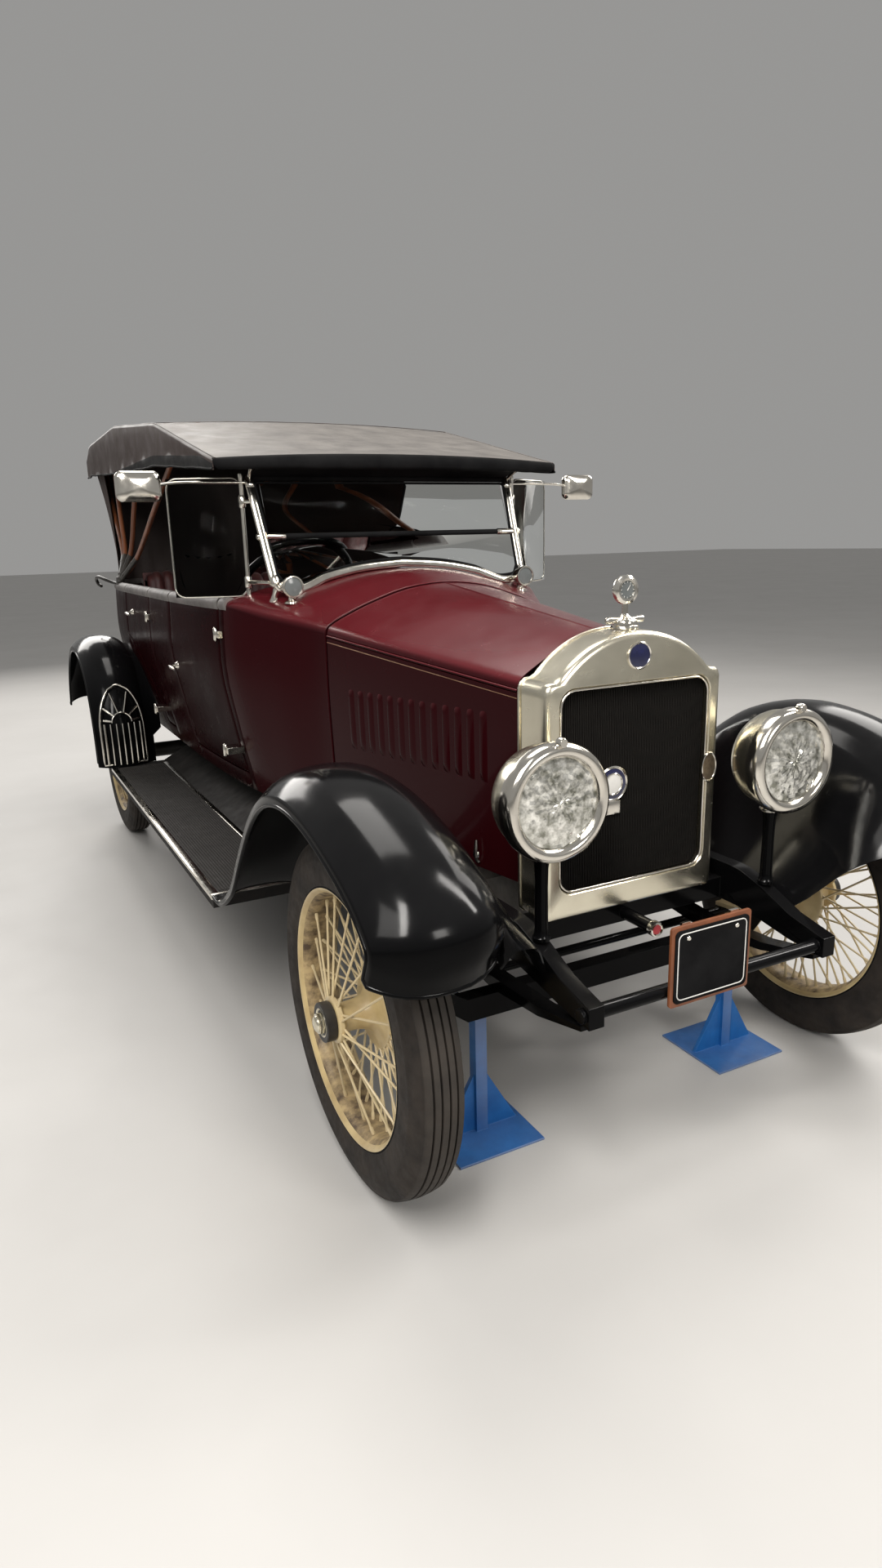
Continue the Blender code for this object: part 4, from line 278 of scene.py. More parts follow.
# Top cloth: steep sides get their own warmer colour and almost no shine as painted shade, tops a strong
# shine as a painted sheen
finish("cloth", "leathercloth", ((0.05, 0.043, 0.041), (0.075, 0.066, 0.063)), 6.0, (0.42, 0.6, 12),
       ((900, 0.25, "voronoi"), (7, 0.5)), dust=0.5, painted_shade=((0.052, 0.038, 0.035), (0.02, 0.55)))
finish("band", "leathercloth", ((0.006, 0.006, 0.0065), (0.012, 0.012, 0.0125)), 8.0, (0.55, 0.7, 18),
       ((900, 0.25, "voronoi"),), dust=0.02, Specular_IOR_Level=0.03)
finish("piping", "leathercloth", ((0.15, 0.135, 0.13), (0.09, 0.08, 0.078)), 10.0, (0.42, 0.6, 26),
       ((700, 0.3, "voronoi"), (45, 0.25)), ((0.3, 0.29, 0.27), 0.3), Specular_IOR_Level=0.3)
finish("leather", "seat_leather", ((0.085, 0.014, 0.014), (0.05, 0.009, 0.009)), 9.0, (0.36, 0.55, 20),
       ((420, 0.4, "voronoi"), (60, 0.2)), ((0.2, 0.06, 0.05), 0.5), 0.06, Sheen_Weight=0.1)
finish("bow_wood", "bow_wood", ((0.2, 0.062, 0.024), (0.11, 0.033, 0.013)), 7.0, (0.35, 0.55, 30),
       ((30, 0.15, "grain", ALONG_BOW),), ((0.3, 0.12, 0.05), 0.3), stretch=ALONG_BOW, Coat_Weight=0.3)
finish("dash_wood", "dash_wood", ((0.13, 0.05, 0.02), (0.06, 0.022, 0.01)), 9.0, (0.2, 0.35, 30),
       ((40, 0.06, "grain", ALONG_DASH),), stretch=ALONG_DASH, Coat_Weight=0.5)
finish("glass", "screen_glass", ((0.98, 1.0, 0.99), (0.95, 0.98, 0.97)), 2.0, (0.0, 0.02, 8),
       ((3, 0.01),), Transmission_Weight=1.0, IOR=1.08)
finish("iron", "iron", ((0.07, 0.065, 0.06), (0.11, 0.1, 0.09)), 14.0, (0.45, 0.7, 30),
       ((120, 0.35),), ((0.2, 0.19, 0.17), 0.4), 0.2, Metallic=0.6)
finish("mat", "board_mat", ((0.009, 0.0085, 0.0085), (0.018, 0.0165, 0.016)), 10.0, (0.6, 0.8, 22),
       ((200, 0.3),), ((0.05, 0.046, 0.044), 0.4), 0.04, Specular_IOR_Level=0.15)
finish("blue", "stand_paint", ((0.008, 0.09, 0.3), (0.012, 0.13, 0.4)), 12.0, (0.35, 0.55, 26),
       ((160, 0.15),), ((0.3, 0.3, 0.32), 0.6), 0.12)
finish("core", "black_enamel", ((0.002, 0.002, 0.002), (0.005, 0.0045, 0.004)), 40.0, (0.6, 0.85, 60),
       ((320, 0.4),), ((0.03, 0.027, 0.024), 0.3), Specular_IOR_Level=0.12)
finish("white", "cream_enamel", ((0.7, 0.69, 0.66), (0.6, 0.59, 0.56)), 18.0, (0.35, 0.5, 40),
       ((200, 0.08),))
finish("amber", "bow_wood", ((0.22, 0.07, 0.025), (0.13, 0.04, 0.014)), 14.0, (0.4, 0.6, 30),
       ((160, 0.15),))
finish("red", "maroon_paint", ((0.42, 0.02, 0.03), (0.3, 0.014, 0.02)), 20.0, (0.3, 0.45, 30),
       ((160, 0.1),))
finish("silver_pane", "screen_glass", ((0.16, 0.17, 0.17), (0.1, 0.11, 0.11)), 6.0, (0.08, 0.2, 12),
       ((30, 0.15),), IOR=1.45)
finish("badge_blue", "black_enamel", ((0.012, 0.014, 0.06), (0.008, 0.01, 0.04)), 30.0,
       (0.15, 0.25, 40), ((160, 0.05),), Coat_Weight=0.6)
# Headlamp lens: the light and dark mottle in its colour is painted glitter, facets painted as catching or
# missing the light
finish("lens", "screen_glass", ((0.97, 0.96, 0.9), (0.22, 0.22, 0.18)), 44.0, (0.05, 0.16, 90),
       ((62, 1.0, "voronoi"), (110, 0.5)), Metallic=0.75, Coat_Weight=0.6, Coat_Roughness=0.03)
finish("felloe", "cream_enamel", ((0.46, 0.34, 0.17), (0.07, 0.042, 0.022)), 26.0, (0.45, 0.7, 40),
       ((90, 0.3),), ((0.5, 0.4, 0.22), 0.3), 0.1)
finish("bronze", "nickel", ((0.3, 0.24, 0.17), (0.18, 0.14, 0.1)), 60.0, (0.3, 0.45, 40),
       ((160, 0.2),), Metallic=0.8)
finish("silver", "nickel", ((0.9, 0.89, 0.86), (0.84, 0.83, 0.8)), 20.0, (0.06, 0.14, 40),
       ((60, 0.1),), Metallic=1.0)
finish("gilt", "maroon_paint", ((0.34, 0.2, 0.12), (0.24, 0.12, 0.07)), 12.0, (0.25, 0.4, 30),
       ((160, 0.05),), Metallic=0.4)
finish("floor", "iron", ((0.5, 0.49, 0.475), (0.53, 0.52, 0.505)), 0.8, (0.5, 0.6, 3), ((60, 0.05),))

FLOOR = 60
floor_mesh = bpy.data.meshes.new("floor")
floor_corners = [(FLOOR * x, FLOOR * y, 0) for x, y in ((-1, -1), (1, -1), (1, 1), (-1, 1))]
floor_mesh.from_pydata(floor_corners, [], [(0, 1, 2, 3)])
floor = bpy.data.objects.new("floor", floor_mesh)
floor_mesh.materials.append(FINISH["floor"])
scene.collection.objects.link(floor)


# Shapes


class Shape:
    """The points and faces of one piece, in car stations unless it has its own place."""

    def __init__(self):
        self.points, self.faces = [], []

    def put(self, points, faces):
        first = len(self.points)
        self.points += [Vector(p) for p in points]
        self.faces += [[first + i for i in face] for face in faces]
        return self

    def rings(self, rings, closed=True, caps=True, loop=False):
        count = len(rings[0])
        faces = []
        for r in range(len(rings) if loop else len(rings) - 1):
            s = (r + 1) % len(rings)
            for i in range(count if closed else count - 1):
                j = (i + 1) % count
                faces.append((r * count + i, r * count + j, s * count + j, s * count + i))
        if caps and closed and not loop:
            faces.append(tuple(range(count)))
            faces.append(tuple((len(rings) - 1) * count + i for i in range(count)))
        return self.put([p for ring in rings for p in ring], faces)

    def grid(self, rows):
        return self.rings(rows, closed=False)

    def tube(self, line, radius, sides=10, loop=False, flat=1.0, first=None):
        """A round tube along a line, with one radius or a radius for each point."""
        line = [Vector(p) for p in line]
        radii = radius if isinstance(radius, list) else [radius] * len(line)
        rings = []
        side = Vector(first) if first else None
        for i, point in enumerate(line):
            before = line[i - 1] if i or loop else point
            after = line[(i + 1) % len(line)] if i < len(line) - 1 or loop else point
            run = (after - before).normalized()
            if side is None:
                guess = Vector(UP) if abs(run.z) < 0.9 else Vector((1, 0, 0))
                side = guess.cross(run).normalized()
            side = (side - run * side.dot(run)).normalized()
            up = run.cross(side) * flat
            rings.append([point + (side * cos(a) + up * sin(a)) * radii[i] for a in turns(sides)])
        return self.rings(rings, loop=loop)

    def lathe(self, profile, centre, axis, steps=48, loop=False):
        """A profile of (radius, height) in millimetres, turned about an axis. Loop joins its two ends."""
        turn = Vector(UP).rotation_difference(Vector(axis)).to_matrix()
        centre = Vector(centre)
        rings = [[centre + turn @ polar(r / 1000, a, h / 1000) for a in turns(steps)] for r, h in profile]
        return self.rings(rings, caps=not loop, loop=loop)

    def box(self, low, high):
        (a, b, c), (d, e, f) = low, high
        return self.rings([[(a, b, z), (d, b, z), (d, e, z), (a, e, z)] for z in (c, f)])

    def side_box(self, side, near, far, low, high):
        """A box between two distances from the car's middle and two corners of (y, z)."""
        a, b = sorted((side * near, side * far))
        return self.box((a, *low), (b, *high))

    def prism(self, outline, lift, low, high):
        """A flat outline of pairs, placed by lift(pair, level) at two levels."""
        return self.rings([[lift(p, level) for p in outline] for level in (low, high)])

    def piece(self, name, finish, angle=35, body="chassis", place=None, solid=None, bevel=None, node=None):
        """One object of this shape, riding on a body.

        Solid is (thickness, offset), bevel (width, segments), and node the CAD node that it replaces.
        """
        mesh = bpy.data.meshes.new(name)
        shift = Vector((0, 0 if place else AHEAD, 0))
        mesh.from_pydata([p + shift for p in self.points], [], self.faces)
        shape = bmesh.new()
        shape.from_mesh(mesh)
        bmesh.ops.remove_doubles(shape, verts=shape.verts, dist=2e-5)
        bmesh.ops.recalc_face_normals(shape, faces=shape.faces)
        shape.to_mesh(mesh)
        shape.free()
        obj = bpy.data.objects.new(name, mesh)
        scene.collection.objects.link(obj)
        if solid:
            change = obj.modifiers.new("solid", "SOLIDIFY")
            change.thickness, change.offset = solid
            change.use_even_offset = True
        if bevel:
            change = obj.modifiers.new("bevel", "BEVEL")
            change.width, change.segments = bevel
            change.limit_method = "ANGLE"
            change.angle_limit = radians(32)
        if obj.modifiers:
            bpy.context.view_layer.update()
            graph = bpy.context.evaluated_depsgraph_get()
            baked = bpy.data.meshes.new_from_object(obj.evaluated_get(graph))
            obj.modifiers.clear()
            obj.data = baked
        obj.data.shade_smooth()
        obj.data.set_sharp_from_angle(angle=radians(angle))
        obj.data.materials.clear()
        obj.data.materials.append(FINISH[finish])
        if place:
            obj.matrix_world = place
        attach(obj, body)
        if node:
            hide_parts(node)
        return obj


def curve_through(rows, straight=0):
    """A smooth curve through rows of (place, values), never beyond them, with its first spans straight."""
    xs = [row[0] for row in rows]
    columns = list(zip(*[row[1:] for row in rows]))
    tangents = []
    for column in columns:
        slopes = [(b - a) / (d - c) for a, b, c, d in zip(column, column[1:], xs, xs[1:])]
        found = [slopes[0]]
        for i in range(1, len(xs) - 1):
            a, b = slopes[i - 1], slopes[i]
            found.append(slopes[0] if i <= straight else (0.0 if a * b <= 0 else 2 * a * b / (a + b)))
        tangents.append(found + [slopes[-1]])

    def at(x):
        x = min(max(x, xs[0]), xs[-1])
        i = max(k for k in range(len(xs) - 1) if xs[k] <= x)
        h = xs[i + 1] - xs[i]
        t = (x - xs[i]) / h
        a, b, c, d = 2 * t**3 - 3 * t * t + 1, t**3 - 2 * t * t + t, 3 * t * t - 2 * t**3, t**3 - t * t
        return [
            a * v[i] + b * h * m[i] + c * v[i + 1] + d * h * m[i + 1] for v, m in zip(columns, tangents)
        ]

    return at


def spline(points, steps):
    """Points on a smooth line through the given ones."""
    knots = [Vector(p) for p in points]
    knots = [knots[0] * 2 - knots[1]] + knots + [knots[-1] * 2 - knots[-2]]
    out = []
    for a, b, c, d in zip(knots, knots[1:], knots[2:], knots[3:]):
        for t in spread(0, 1, steps)[:-1]:
            square, cube = 2 * a - 5 * b + 4 * c - d, 3 * b - a - 3 * c + d
            out.append(0.5 * (2 * b + (c - a) * t + square * t * t + cube * t**3))
    return out + [knots[-2]]


# The body's surface, as in the part's source

# Station, half width, crease height, crown height, tuck
BODY_STATIONS = (
    (0.051, 0.257, 1.112, 1.228, 0.0), (0.905, 0.415, 1.187, 1.325, 0.25),
    (1.155, 0.528, 1.2235, 1.366, 0.7), (1.36, 0.6138, 1.26, 1.366, 1.0),
    (1.71, 0.6468, 1.26, 1.366, 1.0), (2.11, 0.66, 1.26, 1.366, 1.0),
    (3.06, 0.66, 1.26, 1.366, 1.0), (3.46, 0.6402, 1.26, 1.366, 1.0),
    (3.735, 0.5676, 1.26, 1.366, 1.0), (3.86, 0.4488, 1.26, 1.366, 1.0),
)
ARCH = (
    (1.0, 0.0), (0.985, 0.13), (0.93, 0.25), (0.8, 0.43), (0.62, 0.64), (0.33, 0.90), (0.0, 1.0),
    (-0.33, 0.9),
)
BOTTOM, BELT, WALL = 0.6003, 1.26, 0.04
body_at = curve_through(BODY_STATIONS, straight=1)
side_share = curve_through(((0.0, 0.87), (0.35, 0.945), (0.72, 1.0), (1.0, 0.99)))
ARCH_FINE = [tuple(p) for p in spline(ARCH, 3)][:-3]


def skin_x(y, z, inset=0.0):
    half, crease, _, tuck = body_at(y)
    share = min(max((z - BOTTOM) / (crease - BOTTOM), 0.0), 1.0)
    return half * mix(1.0, side_share(share)[0], tuck) - inset


def arch_points(y, inset=0.0):
    crease, crown = body_at(y)[1:3]
    edge = skin_x(y, crease) - inset
    return [
        (edge * a if a < 1 else edge, mix(crease, crown, b) - inset * min(1, b * 3)) for a, b in ARCH_FINE
    ]


# Wheels and tyres

# From the bead over the ribs to the tread's middle
TYRE = (
    (288.5, 30), (289.5, 40), (296, 47.5), (304, 53.5), (307.5, 53.5), (311, 55.2), (325, 57.5), (340, 58),
    (356, 57.8), (362, 58.5), (366, 56.5), (378, 54.5), (388, 51), (396, 46.5), (400, 43.5), (405.5, 42.5),
    (408.5, 37.5), (410.5, 28.5), (405.5, 27.5), (405.5, 24.5), (411.5, 23.5), (412.6, 11.5), (407, 10.5),
    (407, 7.5), (413, 6.5),
)
RIM = (
    (303.5, 50.5), (303.5, 52.5), (298.5, 53.5), (294.5, 52.5), (290.5, 48), (286.5, 43.5), (282.5, 38),
    (278.5, 30), (276.8, 18), (276.2, 0),
)
RIM_INSIDE = ((296, -47.5), (288, -41), (287.3, -30), (287.3, 30), (288, 41), (296, 47.5))
HUB = (
    (0, 74), (34, 74), (42, 78), (50, 77.5), (53.5, 74.5), (53.5, 65.5), (50, 62), (38, 58), (34, 50),
    (35, 20), (41, -4), (52, -15), (86, -20.5), (91.5, -23.5), (91.5, -32.5), (86, -35.5), (60, -38),
    (51, -45), (0, -45),
)
LOCK_RING = (
    (0, 100), (20, 100), (28, 100.5), (38, 103.5), (43.5, 103.5), (45.5, 101.5), (45.5, 81),
    (43, 77.5), (0, 77.5),
)
CAP = ((0, 120.5), (10, 120), (16.5, 117.5), (19, 113.5), (19.5, 112.5), (0, 110))
CAP_RING = ((28, 100), (30.5, 102.5), (33, 103.8), (33, 100))
DRUM = (
    (0, -38), (100, -38), (155, -40), (166, -43), (170, -49), (170, -60), (173.5, -62), (173.5, -68),
    (170, -70), (170, -94), (173.5, -96), (173.5, -100), (163, -100), (163, -46), (0, -46),
)
# Copies, radius and height at the hub, height at the rim, lean
SPOKE_ROWS = (
    (10, 0.05, 0.0723, 0.022, 0.30), (10, 0.05, 0.0677, 0.012, -0.30),
    (20, 0.088, -0.0257, -0.006, 0.36), (20, 0.088, -0.0303, -0.018, -0.36),
)
SPOKE, SPOKE_END, SPOKE_SINK = 0.0029, 0.2785, 0.004
FELLOE, TAPED = (0.2755, 0.2875), 0.2985


def mirrored(profile):
    """A profile and its mirror image below, without doubling a point on the middle."""
    return list(profile) + [(r, -h) for r, h in reversed(profile) if h]


def wheel_place(centre, axis):
    turn = Vector(UP).rotation_difference(Vector(axis)).to_matrix().to_4x4()
    return Matrix.Translation((centre[0], centre[1] + AHEAD, centre[2])) @ turn


def wheel(who, body, centre, axis, drum=False):
    """A ribbed tyre, and a rim laced to its hub with four rows of spokes."""
    place = wheel_place(centre, axis)

    def turned(profile, name, look, angle, steps=48, loop=False, node=None):
        shape = Shape().lathe(profile, ORIGIN, UP, steps, loop)
        return shape.piece(name, look, angle, body, place, node=node)

    turned(mirrored(TYRE), f"tyre_{who}_ribbed", "rubber", 40, 96, True, f"tyre_{who}")
    name = "wire_wheel_" + who
    laced = Shape().lathe([*mirrored(RIM), *RIM_INSIDE], ORIGIN, UP, 96, loop=True)
    for copies, hub_radius, hub_z, rim_z, lean in SPOKE_ROWS:
        reach = hub_radius - SPOKE_SINK
        for i in range(copies):
            turn = 2 * PI * (i + (0.5 if lean < 0 else 0.0)) / copies
            start, end = polar(reach, turn, hub_z), polar(SPOKE_END, turn + lean, rim_z)
            run = (end - start).normalized()
            laced.tube([start, end], SPOKE, 7)
            laced.tube([end - run * 0.02, end - run * 0.016, end], [0.003, 0.0042, 0.0046], 7)
    laced = laced.piece(name + "_laced", "cream", 40, body, place, node=name)
    laced.data.materials.append(FINISH["felloe"])
    laced.data.materials.append(FINISH["band"])
    for face in laced.data.polygons:
        reach = math.hypot(face.center.x, face.center.y)
        if FELLOE[0] < reach < FELLOE[1]:
            face.material_index = 1
        elif reach > TAPED:
            face.material_index = 2
    turned(HUB, name + "_hub", "cream", 40)
    turned(LOCK_RING, name + "_lock_ring", "frame_black", 40)
    cap = Shape().lathe(CAP, ORIGIN, UP, 32)
    cap.rings([[polar(0.0245, a, z) for a in turns(8)] for z in (0.1, 0.1125)])
    cap.lathe(CAP_RING, ORIGIN, UP, 48, loop=True)
    cap.piece(name + "_cap", "nickel", 30, body, place, bevel=(0.0008, 1))
    if drum:
        turned(DRUM, name + "_drum", "cream", 30, 64)


for end, y in (("front", 0.0), ("rear", REAR_AXLE)):
    for side in SIDES:
        who = f"{end}_{side_name(side)}"
        centre = (side * HALF_TRACK, y, AXLE_HIGH)
        wheel(who, who + "_wheel", centre, (side, 0, 0), end == "rear")
wheel("spare", "chassis", SPARE, REARWARD)


# Fenders and running boards

# Shares along the fender, up to its spine and up to its inner foot, and the foot's share inward
FRONT_FENDER = (
    (0.0227, 0.404, 0.385, 0.04), (0.0013, 0.536, 0.451, 0.08), (0.015, 0.667, 0.451, 0.23),
    (0.082, 0.799, 0.357, 0.60), (0.184, 0.906, 0.122, 1.0), (0.310, 0.987, 0.207, 1.0),
    (0.435, 1.0, 0.207, 1.0), (0.549, 0.930, 0.207, 1.0), (0.647, 0.782, 0.207, 1.0),
    (0.741, 0.560, 0.207, 1.0), (0.835, 0.305, 0.207, 1.0), (0.922, 0.109, 0.207, 1.0),
    (0.994, 0.022, 0.207, 1.0),
)
# Shares along the fender from the axle and up
REAR_FENDER = (
    (-1.0, -0.03), (-0.97, 0.29), (-0.86, 0.589), (-0.64, 0.819), (-0.33, 0.959), (0.026, 1.0),
    (0.339, 0.956), (0.626, 0.811), (0.852, 0.597), (1.0, 0.350),
)
ACROSS = (1.0, 0.985, 0.94, 0.86, 0.74, 0.58, 0.38, 0.15, -0.1, -0.35, -0.58, -0.78, -0.92, -1.0)
FRONT_SPAN, FRONT_RISE, REAR_RISE = (-0.475, 0.8), (0.45, 0.982), (0.45, 1.036)
LIP, DROP, BEAD = 0.075, 0.055, 0.0055
BOARD_TOP = 0.4525
FENDER_SHEET = (0.004, 0.0)


def fender_rows(spine, inner_x, outer_x, side, foot_y=9.0):
    """Rows of points across a fender. The drop of its edges fades out on the last stretch to foot_y."""
    rows = []
    middle, half = (inner_x + outer_x) / 2, (outer_x - inner_x) / 2
    for i, (y, z) in enumerate(spine):
        before, after = Vector(spine[max(i - 1, 0)]), Vector(spine[min(i + 1, len(spine) - 1)])
        run = (after - before).normalized()
        fade = min(1.0, max(0.0, (foot_y - y) / 0.2)) ** 0.7
        drops = [(1.0, LIP * fade)] + [(share, DROP * abs(share) ** 2.6 * fade) for share in ACROSS]
        rows.append([
            (side * (middle + half * share), y + run.y * drop, z - run.x * drop) for share, drop in drops
        ])
    return rows


def cut_off(rows, level):
    """Ends each line of points along the fender where it passes below the running board's level."""
    ends = {}
    out = []
    for above, row in zip(rows[:1] + rows, rows):
        kept = []
        for i, (p, q) in enumerate(zip(above, row)):
            if i not in ends and q[1] > 0.3 and q[2] < level <= p[2]:
                ends[i] = Vector(mix(Vector(p), Vector(q), (p[2] - level) / (p[2] - q[2])))
            kept.append(ends[i].copy() if i in ends else Vector(q))
        out.append(kept)
    return out


def front_fender(side):
    name = "fender_front_" + side_name(side)
    fine = spline(FRONT_FENDER, 5)
    spine = [(mix(*FRONT_SPAN, v[0]), mix(*FRONT_RISE, v[1])) for v in fine]
    rows = fender_rows(spine, 0.585, 0.855, side, FRONT_SPAN[1])
    for row, v in zip(rows, fine):
        x, y, z = row[-1]
        foot_x, foot_z = mix(0.585, 0.368, v[3]), mix(*FRONT_RISE, v[2])
        for t in spread(0, 1, 4)[1:]:
            sag = sin(PI * t) * 0.012
            row.append((side * mix(abs(x), foot_x, t), y, mix(z, foot_z, t) - sag))
    rows = cut_off(rows, BOARD_TOP)
    Shape().grid(rows).piece(name + "_skin", "black", 50, solid=FENDER_SHEET, node=name)
    nose = list(reversed(rows[0][: len(ACROSS) + 1]))
    Shape().tube(nose + [row[0] for row in rows], BEAD, 8).piece(name + "_bead", "black", 60)


def rear_fender(side):
    name = "fender_rear_" + side_name(side)
    spine = []
    for along, high in spline(REAR_FENDER, 5):
        reach = 0.575 if along > 0 else 0.50
        spine.append((REAR_AXLE + along * reach, mix(*REAR_RISE, high)))
    rows = []
    for row in fender_rows(spine, 0.666, 0.905, side):
        y, z = row[-1][1:]
        wall = skin_x(y, z) if BOTTOM < z < BELT and y < 3.86 else 0.64
        tip = max(min(wall, 0.664), 0.6) if z > BOTTOM else 0.64
        row.append((side * tip, y, z))
        rows.append([(px, py, max(pz, 0.4505)) for px, py, pz in row])
    Shape().grid(rows).piece(name + "_skin", "black", 50, solid=FENDER_SHEET, node=name)
    line = [row[0] for row in rows if row[0][2] > 0.452] + rows[-1][1:]
    Shape().tube(line, BEAD, 8).piece(name + "_bead", "black", 60)


FAN_X, FAN_LOW, FAN_HIGH, FAN_HUB = 0.785, 0.466, 0.834, 0.665
FAN_RADIUS, FAN_ROD, FAN_PITCH = 0.045, 0.0045, 0.027
FAN_LEAN = ((2.698, 0.455), (2.70, 0.56), (2.712, 0.66), (2.74, 0.755), (2.778, 0.835))


def fan_guard(side):
    """The fan-shaped lattice that guards the rear fender's front face from boots."""
    made = Shape()
    front = spline(FAN_LEAN, 8)

    def at(x, z):
        y = min(front, key=lambda p: abs(p.y - z)).x
        share = abs((x - FAN_X) / 0.12)
        return (side * x, y - 0.008 + DROP * share**2.6 * 0.8, z)

    def half_width(z):
        t = (z - FAN_LOW) / (0.835 - FAN_LOW)
        return 0.098 * sqrt(max(0.0, 1 - max(0.0, (t - 0.45) / 0.55) ** 2))

    def ray_point(r, a):
        return FAN_X + cos(a) * r, FAN_HUB + sin(a) * r

    outline = [at(FAN_X - half_width(z), z) for z in spread(FAN_LOW, FAN_HIGH, 20)]
    outline += [at(FAN_X + half_width(z), z) for z in spread(FAN_HIGH, FAN_LOW, 20)]
    made.tube(outline, BEAD, 8, loop=True)
    for i in range(-3, 4):
        made.tube([at(FAN_X + i * FAN_PITCH, z) for z in spread(FAN_LOW, 0.66, 8)], FAN_ROD, 6)
    for a in spread(0.16, PI - 0.16, 5):
        ray = [ray_point(r, a) for r in spread(FAN_RADIUS, 0.16, 6)]
        ray = [at(x, z) for x, z in ray if abs(x - FAN_X) < half_width(z) + 0.003]
        if len(ray) > 1:
            made.tube(ray, FAN_ROD, 6)
    made.tube([at(*ray_point(FAN_RADIUS, a)) for a in spread(0, PI, 12)], FAN_ROD, 6)
    made.piece(f"fan_guard_{side_name(side)}", "bright", 50)


def running_board(side):
    name = side_name(side)
    ribs, strips, apron = Shape(), Shape(), Shape()
    for i in range(22):
        x = mix(0.628, 0.828, (i + 0.5) / 22)
        ribs.side_box(side, x - 0.0028, x + 0.0028, (0.835, BOARD_TOP), (2.665, 0.4555))
    ribs.piece(f"board_ribs_{name}", "mat", 30)
    strips.side_box(side, 0.832, 0.8585, (0.802, 0.44), (2.70, 0.4545))
    strips.side_box(side, 0.600, 0.620, (0.802, 0.44), (2.69, 0.4545))
    strips.side_box(side, 0.60, 0.858, (0.802, 0.44), (0.824, 0.4547))
    strips.piece(f"board_strips_{name}", "bright", 30, bevel=(0.003, 2))
    for z, x in ((0.545, 0.372), (0.49, 0.50)):
        apron.tube([(side * x, 0.85, z), (side * x, 2.7, z)], 0.0035, 6)
    apron.piece(f"apron_swages_{name}", "black", 50)


for side in SIDES:
    front_fender(side)
    rear_fender(side)
    fan_guard(side)
    running_board(side)


# Bonnet, scuttle, body and doors

# Distance out from the panel and along from the handle's middle
BONNET_GRIP = ((0, -0.05), (0.022, -0.042), (0.026, 0), (0.022, 0.042), (0, 0.05))
CATCH = ((0.004, 0.64), (0.012, 0.66), (0.01, 0.7))
CATCH_PIN = ((0, 6), (8, 5), (10, 0))
GRIP_Y, GRIP_Z = 0.47, 0.72


def bonnet(side):
    name = side_name(side)
    leaf = name + "_side_leaf"
    places = spread(0.053, 0.899, 14)
    rows = [[(side * max(x, 0.0062), y, z) for x, z in arch_points(y)] for y in places]
    Shape().grid(rows).piece(f"bonnet_top_{name}_leaf", "maroon", 45, f"{name}_top_leaf",
                             solid=(0.003, -1), node=f"bonnet_top_{name}")
    rows = []
    for y in places:
        crease = body_at(y)[1] - 0.012
        rows.append([(side * skin_x(y, z), y, z) for z in spread(0.624, crease, 8)])
    Shape().grid(rows).piece(f"bonnet_side_{name}_panel", "maroon", 45, leaf,
                             solid=(0.003, 0.0), node=f"bonnet_side_{name}")
    creases = [(y, body_at(y)[1]) for y in places]
    line = [(side * (skin_x(y, z) - 0.0005), y, z - 0.006) for y, z in creases]
    Shape().tube(line, 0.0042, 8).piece(f"bonnet_crease_{name}", "maroon", 50, leaf)
    line = [(side * (skin_x(y, z - 0.024) + 0.0012), y, z - 0.024) for y, z in creases]
    Shape().tube(line, 0.0014, 6).piece(f"bonnet_line_{name}", "gilt", 60, leaf)
    louvres = Shape()
    for share in spread(0, 1, 12):
        y = mix(0.16, 0.76, share)
        high = body_at(y)[1] - mix(0.07, 0.135, share)
        rows = []
        for t in spread(0, 1, 12):
            z = mix(high - 0.2, high, t)
            lift = 0.009 * sqrt(max(0.0, 1 - (2 * t - 1) ** 6))
            row = []
            for back in spread(0, 1, 5):
                out = lift * sin(back * PI * 0.55)
                row.append((side * (skin_x(y, z) + 0.001 + out), y + 0.026 * back, z))
            rows.append(row + [(side * (skin_x(y, z) + 0.0005), y + 0.0262, z)])
        louvres.grid(rows)
    louvres.piece(f"bonnet_louvres_{name}", "maroon", 50, leaf)
    catches = Shape()
    for y in (0.2, 0.72):
        x = skin_x(y, 0.66)
        catches.tube([(side * (x + out), y, z) for out, z in CATCH], [0.007, 0.008, 0.004], 8)
        catches.lathe(CATCH_PIN, (side * (x + 0.008), y, 0.66), (side, 0, 0), 14)
    x = skin_x(GRIP_Y, GRIP_Z) + 0.002
    grip = spline([(side * (x + out), GRIP_Y + along, GRIP_Z) for out, along in BONNET_GRIP], 4)
    catches.tube(grip, 0.0045, 8)
    catches.piece(f"bonnet_catches_{name}", "bright", 40, leaf)


def crown_hinge():
    line = [(0, y, body_at(y)[2] - 0.0025) for y in spread(0.05, 0.9, 24)]
    Shape().tube(line, 0.0044, 12).piece("bonnet_crown_hinge", "maroon", 50)


crown_hinge()
for side in SIDES:
    bonnet(side)


def both(half):
    """A line from one side to the car's middle, carried on by its mirror image."""
    return half + [type(p)((-p[0], *p[1:])) for p in reversed(half[:-1])]


def ring(y, inset):
    """The body's outline across the car at y, from sill to sill over the crown."""
    crease = body_at(y)[1]
    wall = [(skin_x(y, z, inset), y, z) for z in spread(BOTTOM, crease - 0.004, 10)]
    return both(wall + [(x, y, z) for x, z in arch_points(y, inset)])


